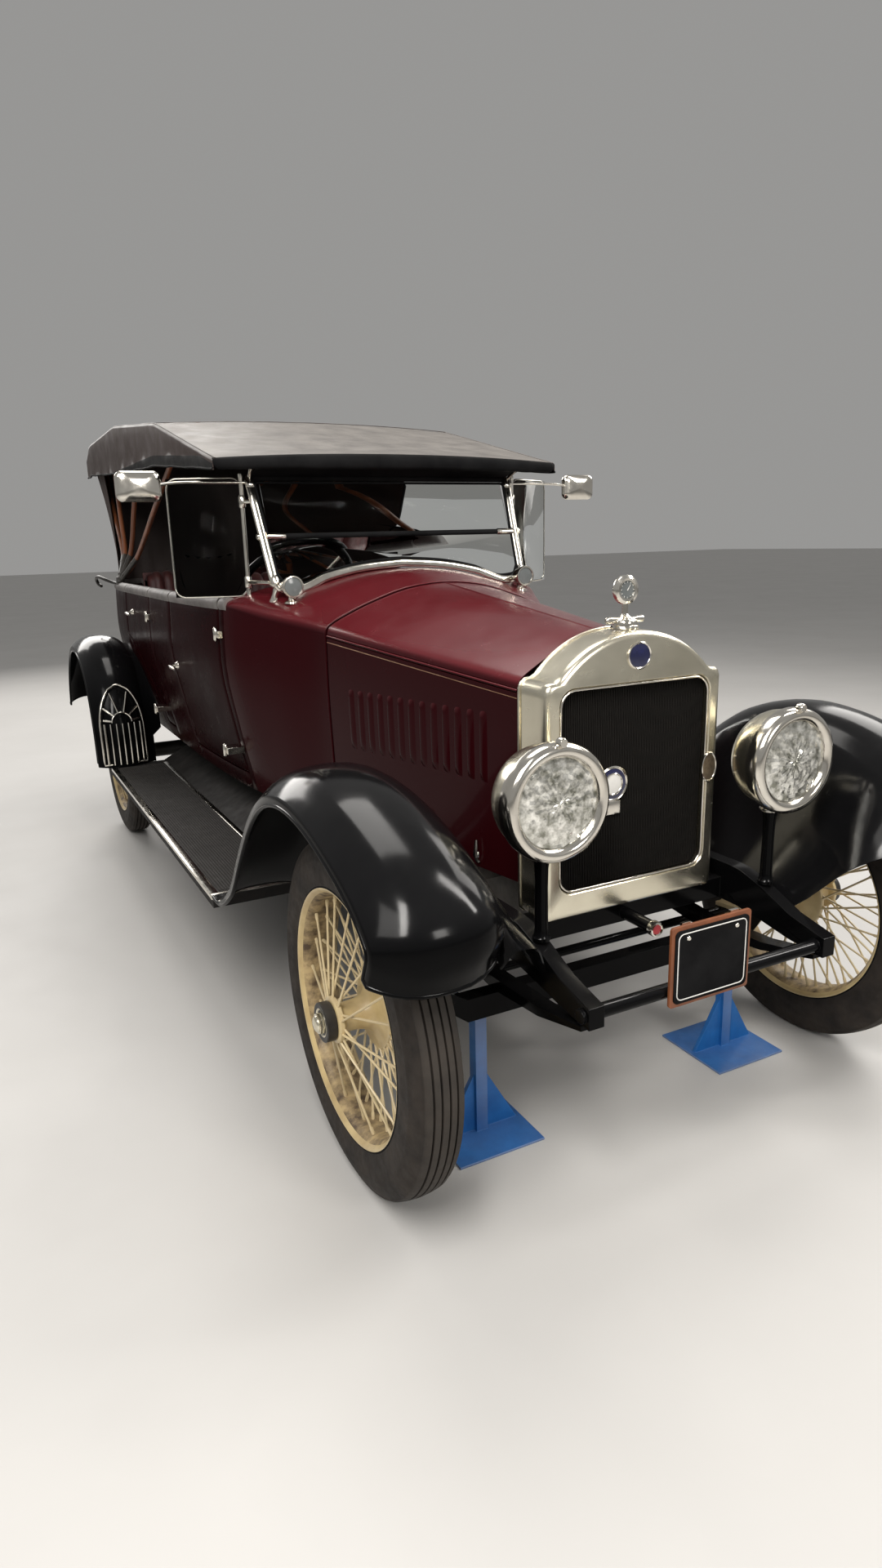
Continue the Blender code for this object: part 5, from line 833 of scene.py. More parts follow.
def scuttle():
    places = spread(0.905, 1.36, 12)
    outer = [ring(y, 0.0) for y in places]
    inner = [ring(y, 0.028) for y in reversed(places[1:])]
    face = ring(places[0] + 0.004, 0.004)
    count = len(face)
    made = Shape().grid(outer + inner)
    made.put(face, [tuple(range(count))])
    made.put(ring(places[1] - 0.01, 0.026), [tuple(range(count))])
    made.put(outer[0] + face, [(i, i + 1, count + i + 1, count + i) for i in range(count - 1)])
    made.piece("scuttle_shell", "maroon", 40, node="scuttle")
    Shape().tube(ring(0.9075, -0.0015), 0.004, 8).piece("scuttle_bead", "maroon", 50)


scuttle()


def wall_shape(made, columns, thick, rows=14):
    """A closed wall through columns of (x, y, low z, high z), with x shared out by the body's tuck."""
    walls = []
    for i, (x, y, low, high) in enumerate(columns):
        a, b = columns[max(i - 1, 0)], columns[min(i + 1, len(columns) - 1)]
        run = Vector((b[0] - a[0], b[1] - a[1], 0)).normalized()
        normal = Vector((run.y, -run.x, 0))
        outer = []
        for z in spread(low, high, rows):
            share = side_share(min(max((z - BOTTOM) / (BELT - BOTTOM), 0.0), 1.0))[0]
            outer.append(Vector((x * share, y, z)))
        walls.append(outer + [p - normal * thick for p in reversed(outer)])
    return made.rings(walls)


def arch_z(y):
    """The lowest the side may reach over the rear wheel's arch."""
    room = 0.65**2 - (y - REAR_AXLE) ** 2
    return AXLE_HIGH + sqrt(room) if room > 0 else 0.0


def above_arch(low, gap=0.0):
    """Heights along the car that stay above a level and above the rear wheel's arch."""
    return lambda y: max(low, arch_z(y) + gap)


def flat(z):
    """The same height all along the car."""
    return lambda y: z


def side_columns(side, start, end, low, high, steps):
    found = [(side * body_at(y)[0], y, low(y), high(y)) for y in spread(start, end, steps)]
    return found if side > 0 else list(reversed(found))


def eased(start, end, count):
    """Values from start to end that lie closer together towards the end."""
    return [mix(start, end, 1 - (1 - t) ** 1.5) for t in spread(0, 1, count)]


# Start, end, top edge, steps along, rows
WALLS = (
    (1.3603, 1.4, flat(BELT), 2, 14), (1.4, 2.02, flat(0.66), 10, 2), (2.02, 2.44, flat(BELT), 8, 14),
    (2.44, 3.02, above_arch(0.66), 24, 4),
)
CARRIER = ((0, 3908.5), (70, 3908.5), (70, 3890), (85, 3872), (100, 3862), (100, 3855), (0, 3855))


def upright(pair, y):
    """A pair of (x, z) at a station."""
    return (pair[0], y, pair[1])


def tub():
    made = Shape()
    for side in SIDES:
        for start, end, high, steps, rows in WALLS:
            wall_shape(made, side_columns(side, start, end, flat(BOTTOM), high, steps), WALL, rows)
    plan = [(body_at(y)[0], y) for y in eased(3.02, 3.86, 24)]
    plan += [(x, 3.86) for x in spread(0.4488, 0.0, 6)[1:]]
    wall_shape(made, [(x, y, BOTTOM, BELT) for x, y in both(plan)], WALL)
    # The tub's panels take the maroon in painted shade
    made.piece("body_tub_panels", "maroon_painted_shade", 40, bevel=(0.0025, 2), node="body_tub")
    edge = [(body_at(y)[0] * 0.87 - 0.02, y) for y in spread(1.36, 3.84, 24)]
    outline = edge + [(-x, y) for x, y in reversed(edge)]
    Shape().prism(outline, lambda p, z: (*p, z), 0.601, 0.63).piece("tub_floor", "mat", 30)
    Shape().lathe(CARRIER, (0, 0, SPARE[2]), REARWARD, 32).piece("spare_carrier", "frame_black")


tub()

HINGE = ((0, -24), (4, -24), (5.5, -21), (8, -20))
ESCUTCHEON = ((0, 12), (9, 11), (13, 4), (16, 0), (16, -4))
DOOR_GRIP = ((0.006, 0, 0), (0.032, -0.002, 0), (0.036, -0.03, 0), (0.034, -0.1, -0.004))


def door(side, end, start, width):
    name = f"{end}_{side_name(side)}"
    body = name + "_door"
    stop = start + width
    made, bits, trim = Shape(), Shape(), Shape()
    low = flat(0.666) if end == "front" else above_arch(0.666, 0.009)
    wall_shape(made, side_columns(side, start + 0.006, stop - 0.006, low, flat(BELT), 28), WALL, 16)
    # The door panel takes the maroon in painted shade
    made.piece(f"door_{name}_panel", "maroon_painted_shade", 40, body, bevel=(0.003, 2), node=f"door_{name}")
    hinge_x = body_at(start + 0.003)[0] + 0.011
    for share in (0.16, 0.84):
        z = mix(0.66, 1.26, share)
        bits.lathe(mirrored(HINGE), (side * hinge_x, start + 0.003, z), UP, 16)
        strap = (start - 0.03, z - 0.012), (start + 0.036, z + 0.012)
        bits.side_box(side, skin_x(start, z) - 0.002, hinge_x, *strap)
    y, z = (stop - 0.05, 1.0) if end == "front" else (stop - 0.16, 1.16)
    x = skin_x(y, z)
    bits.lathe(ESCUTCHEON, (side * x, y, z), (side, 0, 0), 20)
    grip = spline([(side * (x + dx), y + dy, z + dz) for dx, dy, dz in DOOR_GRIP], 5)
    bits.tube(grip, [0.0055] * 10 + [0.0065] * 4 + [0.004] * 2, 10)
    bits.piece(f"door_{name}_fittings", "bright", 40, body, bevel=(0.001, 1))
    columns = side_columns(side, start + 0.05, stop - 0.05, above_arch(0.72, 0.05), flat(1.225), 16)
    wall_shape(trim, [(x * (1 - 0.0415 / abs(x)), y, a, b) for x, y, a, b in columns], 0.007, 8)
    trim.piece(f"door_{name}_trim", "leather", 40, body, bevel=(0.003, 2))


for side in SIDES:
    door(side, "front", 1.4, 0.62)
    door(side, "rear", 2.44, 0.58)


def coaming():
    """The rolled light binding along the body's top edge, a length for each door and stretch of wall."""

    def middle(y):
        return body_at(y)[0] * 0.99 - WALL / 2

    def roll(name, line, body="chassis"):
        line = [(x, y, BELT + 0.002) for x, y in line]
        Shape().tube(line, 0.026, 14).piece("coaming_" + name, "piping", 60, body)

    for side in SIDES:
        name = side_name(side)
        for what, start, end, steps, body in (
            ("front_door", 1.41, 2.01, 12, f"front_{name}_door"),
            ("rear_door", 2.45, 3.01, 12, f"rear_{name}_door"),
            ("post", 2.024, 2.436, 12, "chassis"),
            ("cowl", 1.345, 1.396, 3, "chassis"),
        ):
            roll(f"{what}_{name}", [(side * middle(y), y) for y in spread(start, end, steps)], body)
    plan = [(middle(y), y) for y in eased(3.024, 3.84, 20)]
    plan += [(x, 3.84) for x in spread(0.43, 0.0, 5)[1:]]
    roll("back", both(plan))


coaming()


# Radiator, badges and number plate


def ray_hit(outline, centre, angle):
    """Where a ray from the centre meets a closed outline of (x, z) pairs."""
    way = Vector((cos(angle), sin(angle)))
    for p, q in zip(outline, outline[1:] + outline[:1]):
        start, edge = Vector(p) - Vector(centre), Vector(q) - Vector(p)
        cross = way.x * edge.y - way.y * edge.x
        if abs(cross) < 1e-12:
            continue
        along = (start.x * edge.y - start.y * edge.x) / cross
        share = (start.x * way.y - start.y * way.x) / cross
        if along > 0 and -1e-9 <= share <= 1 + 1e-9:
            return Vector(centre) + way * along
    raise ValueError("the outline isn't closed round its centre")


def arc(centre, radius, start, end, count):
    x, z = centre
    angles = [radians(a) for a in spread(start, end, count)]
    return [(x + radius * cos(a), z + radius * sin(a)) for a in angles]


def rounded(low, high, corner, count=8):
    """A rectangle between two corners, with its own corners rounded."""
    (a, b), (c, d) = low, high
    left, right, under, over = a + corner, c - corner, b + corner, d - corner
    centres = (right, under), (right, over), (left, over), (left, under)
    out = []
    for centre, start in zip(centres, (-90, 0, 90, 180)):
        out += arc(centre, corner, start, start + 90, count)
    return out


def shell_outline(inset=0.0):
    """The radiator's outer outline."""
    half, top, shoulder, rounding = 0.2625 - inset, 1.241 - inset, 1.137 - inset * 0.6, 0.022
    reach = half * 0.86
    radius = (reach**2 + (top - shoulder) ** 2) / (2 * (top - shoulder))
    sweep = math.degrees(math.asin(reach / radius))
    right = [(half, 0.556 + inset)]
    right += arc((half - rounding, shoulder - rounding), rounding, 0, 80, 8)
    crown = arc((0.0, top - radius), radius, 90 - sweep, 90 + sweep, 40)
    return right + crown + [(-x, z) for x, z in reversed(right)]


def hole_outline(grow=0.0):
    """The outline of the radiator's opening."""
    low, high = (-0.224 - grow, 0.622 - grow), (0.224 + grow, 1.12 + grow)
    return rounded(low, high, 0.04 + max(grow, 0))


# Outline, its offset and its station, from the opening over the face and round to the back
SURROUND = (
    (hole_outline, 0.0, -0.05), (hole_outline, 0.0, -0.072), (hole_outline, 0.001, -0.0765),
    (hole_outline, 0.0035, -0.079), (hole_outline, 0.007, -0.0785), (shell_outline, 0.016, -0.077),
    (shell_outline, 0.008, -0.0755), (shell_outline, 0.003, -0.071), (shell_outline, 0.0005, -0.064),
    (shell_outline, 0.0, -0.05), (shell_outline, 0.0, -0.02), (shell_outline, 0.0, 0.02),
    (shell_outline, 0.0, 0.038), (shell_outline, 0.003, 0.044), (shell_outline, 0.02, 0.045),
    (hole_outline, 0.0, 0.045),
)
FILLER = (
    (0, 1305), (7, 1305), (7, 1277), (11, 1272), (20, 1266.5), (27, 1263), (29.5, 1259), (29.5, 1251),
    (33, 1249), (34.5, 1245), (33, 1241), (42, 1238), (46, 1233), (0, 1231),
)
# Distance from the middle and radius of the cap's cross handle
HANDLE = ((-0.057, 0.004), (-0.053, 0.0078), (-0.045, 0.0085), (-0.02, 0.0055))
GAUGE = ((0, -9), (30, -9), (34, -6), (35, 0), (34, 6), (27, 9.5), (21.5, 8.5), (20, 4), (0, 4))
GAUGE_FACE = ((0, 6.2), (20.6, 5.8), (20.6, 4), (0, 4))
CAP_Y, GAUGE_Z = -0.0195, 1.333


def radiator():
    def loop(outline, y):
        hits = (ray_hit(outline, (0, 0.88), a) for a in turns(180))
        return [(p.x, y, p.y) for p in hits]

    rows = [loop(outline(offset), y) for outline, offset, y in SURROUND]
    Shape().rings(rows, loop=True).piece("radiator_shell_form", "nickel", 50, node="radiator_shell")
    edge = loop(hole_outline(-0.0035), -0.0745)
    Shape().tube(edge, 0.0032, 8, loop=True).piece("radiator_edge", "bright", 60)
    swage = loop(shell_outline(-0.0005), 0.036)
    Shape().tube(swage, 0.004, 8, loop=True).piece("radiator_band", "nickel", 60)
    block = rounded((-0.2235, 0.6225), (0.2235, 1.1195), 0.04)
    core = Shape().prism(block, upright, -0.035, 0.044)
    for x in spread(-0.2205, 0.2205, 85):
        cut = max(0.0, abs(x) - 0.1835)
        ends = 0.04 - sqrt(max(0.0, 0.04**2 - cut**2))
        core.box((x - 0.0009, -0.057, 0.625 + ends), (x + 0.0009, -0.034, 1.117 - ends))
    for z in spread(0.64, 1.10, 59):
        core.box((-0.2215, -0.05, z - 0.0006), (0.2215, -0.034, z + 0.0006))
    core.piece("radiator_fins", "core", 30, node="radiator_core")
    gauge = (0, CAP_Y, GAUGE_Z)
    cap = Shape().lathe(FILLER, (0, CAP_Y, 0), UP, 40)
    handle = list(HANDLE) + [(0, 0.006)] + [(-x, r) for x, r in reversed(HANDLE)]
    cap.tube([(x, CAP_Y, 1.263) for x, _ in handle], [r for _, r in handle], 16)
    cap.lathe(GAUGE, gauge, FORWARD, 40)
    cap.piece("radiator_cap_form", "bright")
    Shape().lathe(GAUGE_FACE, gauge, FORWARD, 40).piece("thermometer_face", "silver_pane")
    marks = Shape()
    for a in turns(12):
        middle = Vector((0, CAP_Y - 0.0074, GAUGE_Z))
        marks.tube([middle + upright_way(a) * r for r in (0.0165, 0.0195)], 0.0006, 4)
    hand = [(0, CAP_Y - 0.0072, 1.331), (0.009, CAP_Y - 0.0072, 1.345)]
    marks.tube(hand, [0.0011, 0.0004], 6)
    marks.piece("thermometer_marks", "white", 30)


# Share of the badge's size and height of its face
BADGE_RIM = ((1.0, 0.0), (1.0, 0.003), (0.93, 0.0045), (0.86, 0.003), (0.84, 0.002))
BADGE_DOME = ((0.87, 0.0), (0.86, 0.0024), (0.6, 0.0036), (0.3, 0.0042), (0.05, 0.0044))
# Name, middle, half size, finish, station
BADGES = (
    ("arch_badge", (0.0, 1.183), (0.035, 0.033), "badge_blue", -0.0775),
    ("core_badge", (-0.056, 0.874), (0.045, 0.045), "badge_blue", -0.058),
    ("core_badge_boss", (-0.056, 0.874), (0.028, 0.028), "white", -0.0605),
    ("edge_badge", (0.232, 0.882), (0.024, 0.04), "bronze", -0.078),
)


def badge(name, centre, half, look, y):
    """A blank oval badge with a nickel rim."""
    x, z = centre

    def oval(share, lift):
        wide, high = half[0] * share, half[1] * share
        return [(x + wide * cos(a), y - lift, z + high * sin(a)) for a in turns(40)]

    rim = Shape().rings([oval(*row) for row in BADGE_RIM], caps=False)
    rim.piece(name + "_rim", "bright", 40)
    Shape().rings([oval(*row) for row in BADGE_DOME]).piece(name + "_field", look, 50)


def plate():
    x, z, half, high = -0.035, 0.545, 0.115, 0.095
    near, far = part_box("number_plate")
    front, back = near.y - AHEAD, far.y - AHEAD

    def outline(inset, corner):
        wide, tall = half - inset, high - inset
        return rounded((x - wide, z - tall), (x + wide, z + tall), corner)

    board = Shape().prism(outline(0, 0.008), upright, front + 0.004, back)
    board.piece("plate_backing", "amber", 30, bevel=(0.001, 2), node="number_plate")
    face = Shape().prism(outline(0.009, 0.012), upright, front + 0.0005, front + 0.0045)
    face.piece("plate_field", "band", 30)
    line = [(px, front + 0.0008, pz) for px, pz in outline(0.017, 0.014)]
    Shape().tube(line, 0.0016, 6, loop=True).piece("plate_border", "white", 60)
    bolts = Shape()
    for px in (x - 0.07, x + 0.07):
        head = (px, front + 0.0005, z + high - 0.03)
        bolts.lathe([(0, 3), (4, 2), (5.5, 0), (0, -1)], head, FORWARD, 12)
        low = (px - 0.012, back - 0.001, z + high - 0.05)
        bolts.box(low, (px + 0.012, back + 0.006, z + high + 0.004))
    bolts.piece("plate_fixings", "bright")


radiator()
for row in BADGES:
    badge(*row)
tab = Shape().box((-0.079, -0.0625, 0.797), (-0.033, -0.058, 0.831))
tab.piece("core_badge_tab", "bright", 30, bevel=(0.002, 2))
plate()


# Headlamps, cowl lamps and tail lamp

BOWL = (
    (0, -155), (25, -154.8), (45, -152), (66, -145), (85, -134), (100, -120), (111, -104), (118, -88),
    (122.5, -66), (124.5, -44), (125, -36), (116, -36), (112, -70), (90, -115), (0, -140),
)
BEZEL = (
    (125.5, -42), (131, -41), (132, -34), (131.8, -24), (131, -14), (127, -5.5), (120, -1), (112, 0),
    (105, -3), (100, -9.5), (98.5, -16), (98.5, -30), (116, -38),
)
BULB = ((0, -50), (8, -53), (12.5, -62), (12, -75), (8, -88), (8, -120), (0, -120))
SOCKET = ((0, 0), (9, 0), (11.5, -4), (11.5, -16), (0, -18))
SOCKET_WIDTHS = [0.0235, 0.0245, 0.0265, 0.0265, 0.0245, 0.021, 0.018, 0.016, 0.014]
COWL_BODY = ((0, -62), (12, -61), (22, -54), (29, -40), (31, -20), (31, -4), (27, -4), (25, -30), (0, -50))
COWL_FOOT = ((0, 6), (13, 5), (21, 1), (22, -4), (0, -6))
COWL_STEM_WIDTHS = [0.016, 0.0145, 0.011, 0.0085, 0.008, 0.008, 0.009, 0.0105, 0.012]
COWL_RIM = ((31, -8), (35.5, -7), (36.5, -2), (34.5, 3), (30, 3.5), (27.5, 0), (27.5, -5))
COWL_LENS = ((0, 4), (15, 3), (28, 0), (28, -3), (0, -2))
TAIL_BODY = ((0, -30), (30, -30), (33, -26), (33, 12), (0, 12))
TAIL_RIM = ((33, 4), (37, 6), (38, 12), (36, 17), (28, 17), (28, 10))
TAIL_LENS = ((0, 20), (12, 19), (22, 16), (28, 12), (0, 10))
CRANK_RING = ((12.5, 0), (12.5, 4.5), (15, 6.5), (18.5, 5), (19.5, 0), (19.5, -12), (16.5, -14))
CRANK_END = ((0, 3.5), (12.8, 3), (12.8, 0), (0, -1))


def headlamp(side):
    name = "headlamp_" + side_name(side)
    x, y, z = place = (side * 0.345, -0.262, 0.914)
    turn = Vector(UP).rotation_difference(Vector(FORWARD)).to_matrix()

    def cut(profile, steps, depth):
        """A turned dish whose points are pushed in and out at random, so that its facets glitter."""
        rings = []
        for r, h in profile:
            points = [polar(r, a, h + RANDOM.uniform(-depth, depth)) for a in turns(steps)]
            rings.append([Vector(place) + turn @ p for p in points])
        return Shape().rings(rings)

    Shape().lathe(BOWL, place, FORWARD, 64).piece(name + "_bowl", "nickel", 40, node=name)
    Shape().lathe(BEZEL, place, FORWARD, 72, loop=True).piece(name + "_bezel", "bright", 50)
    lens = [(0.099, -0.018)]
    lens += [(0.099 * (1 - k / 12), -0.0135 + 0.005 * (1 - (1 - k / 12) ** 2)) for k in range(12)]
    # The lens's light and dark mottle comes from its finish, a painted glitter
    cut(lens + [(0.002, -0.0085)], 52, 0.0011).piece(name + "_lens", "lens", 4)
    quarter = [k / 10 * PI / 2 for k in range(10, 0, -1)]
    dish = [(0.0995 * sin(a), -0.02 - 0.1 * cos(a) ** 1.4) for a in quarter]
    cut(dish + [(0.004, -0.121)], 44, 0.0022).piece(name + "_reflector", "silver", 6)
    Shape().lathe(BULB, place, FORWARD, 24).piece(name + "_bulb", "glass", 50)
    post = "lamp_post_" + side_name(side)
    post_y = -0.1845
    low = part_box(name)[0].z * 1000
    stem = [
        (0, low), (20, low), (21, low + 8), (17, low + 14), (15.5, low + 30), (14.5, 700), (15.5, 750),
        (18.5, 772), (22.5, 785), (0, 790),
    ]
    Shape().lathe(stem, (x, post_y, 0), UP, 24).piece(post + "_stem", "black", 40)
    neck = spline([(x, post_y, level) for level in (0.775, 0.785, 0.80)], 4)
    fork = Shape().tube(neck, SOCKET_WIDTHS, 20)
    fork.lathe(SOCKET, (x, y - 0.018 + 0.012, z + 0.1335), FORWARD, 16)
    fork.piece(post + "_socket", "bright", 40)


def cowl_lamp(side):
    name = "cowl_lamp_" + side_name(side)
    x, y = side * 0.44, 1.14
    surface = min(arch_points(y), key=lambda p: abs(p[0] - 0.44))[1]
    z = surface + 0.05
    face = (x, y - 0.03, z)
    body = Shape().lathe(COWL_BODY, face, FORWARD, 40)
    stem = spline([(x, y, surface - 0.004), (x, y, surface + 0.01), (x, y, z - 0.025)], 4)
    body.tube(stem, COWL_STEM_WIDTHS, 16)
    body.lathe(COWL_FOOT, (x, y, surface), UP, 24)
    body.piece(name + "_body", "bright", 40)
    Shape().lathe(COWL_RIM, face, FORWARD, 40, loop=True).piece(name + "_rim", "bright", 40)
    Shape().lathe(COWL_LENS, face, FORWARD, 32).piece(name + "_lens", "silver_pane")


def tail_lamp():
    x, z = -0.33, 0.69
    place = (x, 3.90, z)
    Shape().lathe(TAIL_BODY, place, REARWARD, 32).piece("tail_lamp_body", "frame_black")
    Shape().lathe(TAIL_RIM, place, REARWARD, 32, loop=True).piece("tail_lamp_rim", "bright", 40)
    Shape().lathe(TAIL_LENS, place, REARWARD, 32).piece("tail_lamp_lens", "red")
    Shape().tube([(x, 3.852, z), (x, 3.875, z)], 0.014, 12).piece("tail_lamp_arm", "frame_black")


def crank_end():
    place = (0, -0.17, 0.522)
    Shape().lathe(CRANK_RING, place, FORWARD, 32, loop=True).piece("crank_ring", "bright", 40)
    Shape().lathe(CRANK_END, place, FORWARD, 24).piece("crank_end", "red")


crank_end()
for side in SIDES:
    headlamp(side)
    cowl_lamp(side)
tail_lamp()


# Windscreen, wing glasses and mirrors

# Share of the half width and share of the foot's drop
FOOT = ((0.0, 0.0), (0.30, 0.14), (0.60, 0.49), (0.84, 1.0), (0.96, 0.93), (1.0, 0.55))
FOOT_DROP = 0.073
# Where the points of the head begin and end in the windscreen's outline
HEAD_START, HEAD_END = 70, 74
SCREEN_LOW, SCREEN_HIGH, SCREEN_SPLIT = 1.385, 1.672, 1.482
HALF_LOW, HALF_HIGH = 0.475, 0.495
CLAMP = ((0, -18), (12, -18), (15.5, -12))
WING_CLAMP = ((0, -20), (9, -20), (12, -15))
SCREW = ((0, 8), (9, 7), (12.5, 0))
LEG_WIDTHS = [0.012] * 4 + [0.010] * 3 + [0.012, 0.016, 0.019, 0.022]
MIRROR_CASE = (
    (0.1, -0.019), (0.4, -0.018), (0.66, -0.0155), (0.84, -0.012), (0.95, -0.0075), (1.0, -0.001),
    (1.0, 0.009), (0.97, 0.011), (0.93, 0.011), (0.92, 0.008),
)
MIRROR_ARM = (
    (0.494, 1.33, 1.656), (0.60, 1.34, 1.657), (0.72, 1.35, 1.656), (0.78, 1.356, 1.65),
    (0.81, 1.358, 1.645),
)


def on_screen(x, z):
    return Vector((x, mix(1.215, 1.335, (z - SCREEN_LOW) / (SCREEN_HIGH - SCREEN_LOW)), z))


def sided(side, points):
    """Points of one side, or their mirror image."""
    return [(side * x, y, z) for x, y, z in points]


def screen_loop(inset=0.0):
    """The windscreen's outline: its foot, up the right side and corner, along its head and down."""
    drop = curve_through(FOOT)
    foot = []
    for i in range(-30, 31):
        z = SCREEN_LOW + inset - FOOT_DROP * drop(abs(i) / 30)[0]
        foot.append(on_screen((HALF_LOW - inset) * i / 30, z))
    right = []
    for t in (0.1, 0.3, 0.5, 0.7, 0.9, 1.0):
        z = mix(SCREEN_LOW - FOOT_DROP * 0.55, SCREEN_HIGH - 0.012, t)
        right.append(on_screen(mix(HALF_LOW, HALF_HIGH, t) - inset, z))
    for a in (0.5, 1.0, 1.5):
        x = HALF_HIGH - inset - 0.012 * (1 - cos(a))
        right.append(on_screen(x, 1.66 - inset + 0.012 * sin(a)))
    head = [on_screen((0.483 - inset) * t, SCREEN_HIGH - inset) for t in (0.6, 0.2, -0.2, -0.6)]
    return foot + right + head + [Vector((-p.x, p.y, p.z)) for p in reversed(right)]


def windscreen():
    line = screen_loop()
    tilt = Vector((0, 0.287, -0.12)).normalized()
    made = Shape().tube(line[HEAD_END:] + line[:HEAD_START], 0.0095, 16, flat=1.6, first=tilt)
    for side in SIDES:
        for z in (1.34, 1.655):
            x = mix(HALF_LOW, HALF_HIGH, (z - SCREEN_LOW) / (SCREEN_HIGH - SCREEN_LOW))
            made.lathe(mirrored(CLAMP), on_screen(side * x, z), (0, 0.385, 0.92), 20)
    made.piece("windscreen_band", "bright", 50, node="windscreen_frame")
    dark = Shape().tube(line[HEAD_START - 1:HEAD_END + 1], 0.0095, 12, flat=1.2)
    flap = []
    for k in (-0.79, -0.6, -0.4, -0.2, 0, 0.2, 0.4, 0.6, 0.79):
        dip = 0.018 * abs(k) ** 2.2
        corners = ((1.246, 1.716 - dip), (1.337, 1.679), (1.3375, 1.675), (1.246, 1.709 - dip))
        flap.append([(0.62 * k, y, z) for y, z in corners])
    dark.rings(flap)
    dark.piece("windscreen_head", "band", 50)
    gasket = Shape().tube(screen_loop(0.0165), 0.0045, 8, loop=True)
    gasket.tube([on_screen(x, SCREEN_SPLIT) for x in (-0.43, 0.43)], 0.0095, 12)
    gasket.piece("windscreen_gasket", "band", 50)
    ends = Shape()
    for side in SIDES:
        rail = [on_screen(side * x, SCREEN_SPLIT) for x in (0.405, 0.41, 0.468, 0.474)]
        ends.tube(rail, [0.0075, 0.0115, 0.0115, 0.014], 16)
        foot = on_screen(side * 0.46, 1.33)
        base = Vector((side * 0.475, foot.y + 0.02, 1.262))
        knee = mix(foot, base, 0.5) + Vector((side * 0.006, 0, 0))
        ends.tube(spline([foot, knee, base], 5), LEG_WIDTHS, 14)
        ends.lathe(SCREW, on_screen(side * 0.497, SCREEN_SPLIT), (side, 0, 0), 16)
    ends.piece("windscreen_fittings", "bright", 45)


def wing(side):
    name = side_name(side)
    inner, outer = Vector((side * 0.522, 1.335, 0)), Vector((side * 0.742, 1.445, 0))
    low, high = 1.29, 1.672
    width = (outer - inner).length
    run = (outer - inner) / width
    flat_line = rounded((0, low), (width, high), 0.035, 6)
    line = [inner + run * s + Vector((0, 0, z)) for s, z in flat_line]
    Shape().tube(line, 0.0034, 8, loop=True).piece(f"wing_edge_{name}", "bright", 50)
    post = [inner + Vector((0, 0, z)) for z in (low - 0.012, low, high, high + 0.012)]
    Shape().tube(post, 0.0075, 12).piece(f"wing_post_{name}", "bright")
    clamps = Shape()
    for share in (0.12, 0.8):
        z = mix(low, high, share)
        edge = inner + Vector((0, 0, z))
        clamps.tube([on_screen(side * mix(HALF_LOW, HALF_HIGH, 0.6), z), edge], 0.0075, 12)
        clamps.lathe(mirrored(WING_CLAMP), edge, UP, 16)
    clamps.piece(f"wing_clamps_{name}", "bright", 40)


def mirror(side):
    name = side_name(side)
    x, y, z = side * 0.845, 1.36, 1.645
    outline = rounded((-0.0705, -0.047), (0.0705, 0.047), 0.0225)

    def shrunk(share, level):
        return [(x + px * share, y + level, z + pz * share) for px, pz in outline]

    case = Shape().rings([shrunk(*row) for row in MIRROR_CASE])
    case.piece(f"mirror_case_{name}", "bright", 50)
    face = Shape().rings([shrunk(0.925, level) for level in (0.0075, 0.0092)])
    face.piece(f"mirror_glass_{name}", "silver", 30)
    arm = Shape().tube(spline(sided(side, MIRROR_ARM), 5), 0.0048, 10)
    arm.piece(f"mirror_arm_{name}", "bright", 50)


windscreen()
for side in SIDES:
    wing(side)
    mirror(side)


# Folding top

# Station, height, half width and valance at the header, at each bow and at the back
TOP = (
    (1.22, 1.742, 0.64, 0.0357), (2.072, 1.9394, 0.64, 0.1596), (2.924, 2.02, 0.6528, 0.21),
    (3.7192, 2.01, 0.6528, 0.1554), (4.06, 1.9644, 0.6272, 0.1008),
)
TOP_CROWN = 0.02
BOW_YS = tuple(row[0] for row in TOP)
TOP_START, TOP_END = BOW_YS[0], BOW_YS[-1]
TOP_STEPS = 90
HOOK = ((0.50, 1.236, 1.712), (0.502, 1.27, 1.70), (0.495, 1.325, 1.672))
HOOK_PIN = ((0, 6), (9, 5), (11, 0), (0, -2))


def between(rows, y):
    """Values of a table at y, on the straight line between its rows."""
    pairs = list(zip(rows, rows[1:]))
    low, high = next((pair for pair in pairs if y <= pair[1][0]), pairs[-1])
    share = (y - low[0]) / (high[0] - low[0])
    return [mix(a, b, share) for a, b in zip(low[1:], high[1:])]


def top_at(y):
    """Height, half width and valance at y, with the knee over each bow eased."""
    cuts = [between(TOP, y + d) for d in (-0.045, -0.015, 0.015, 0.045)]
    return [sum(column) / len(cuts) for column in zip(*cuts)]


def crowned(s):
    """How far the top lies below its middle at a share of its half width."""
    return TOP_CROWN * abs(s) ** 2.2


def sines(share, count):
    """Shares from -1 to 1, closer together towards the ends."""
    return [share * sin(a * PI / 180) for a in spread(-90, 90, count)]


def noise(x, y, seed=0.0):
    low = sin(11.3 * x + 7.1 * y + seed)
    middle = 0.6 * sin(23.7 * x - 17.3 * y + 2.1 * seed)
    return (low + middle + 0.4 * sin(41.0 * x + 31.0 * y + seed * 3)) / 2.0


def sheet_size(rows):
    """Widest row, longest column and area of a grid of points."""

    def longest(lines):
        return max(sum((b - a).length for a, b in zip(line, line[1:])) for line in lines)

    area = 0.0
    for r, s in zip(rows, rows[1:]):
        for a, b, c, d in zip(r, r[1:], s, s[1:]):
            area += ((b - a).cross(c - a).length + (d - c).cross(d - b).length) / 2
    return longest(rows), longest(zip(*rows)), area


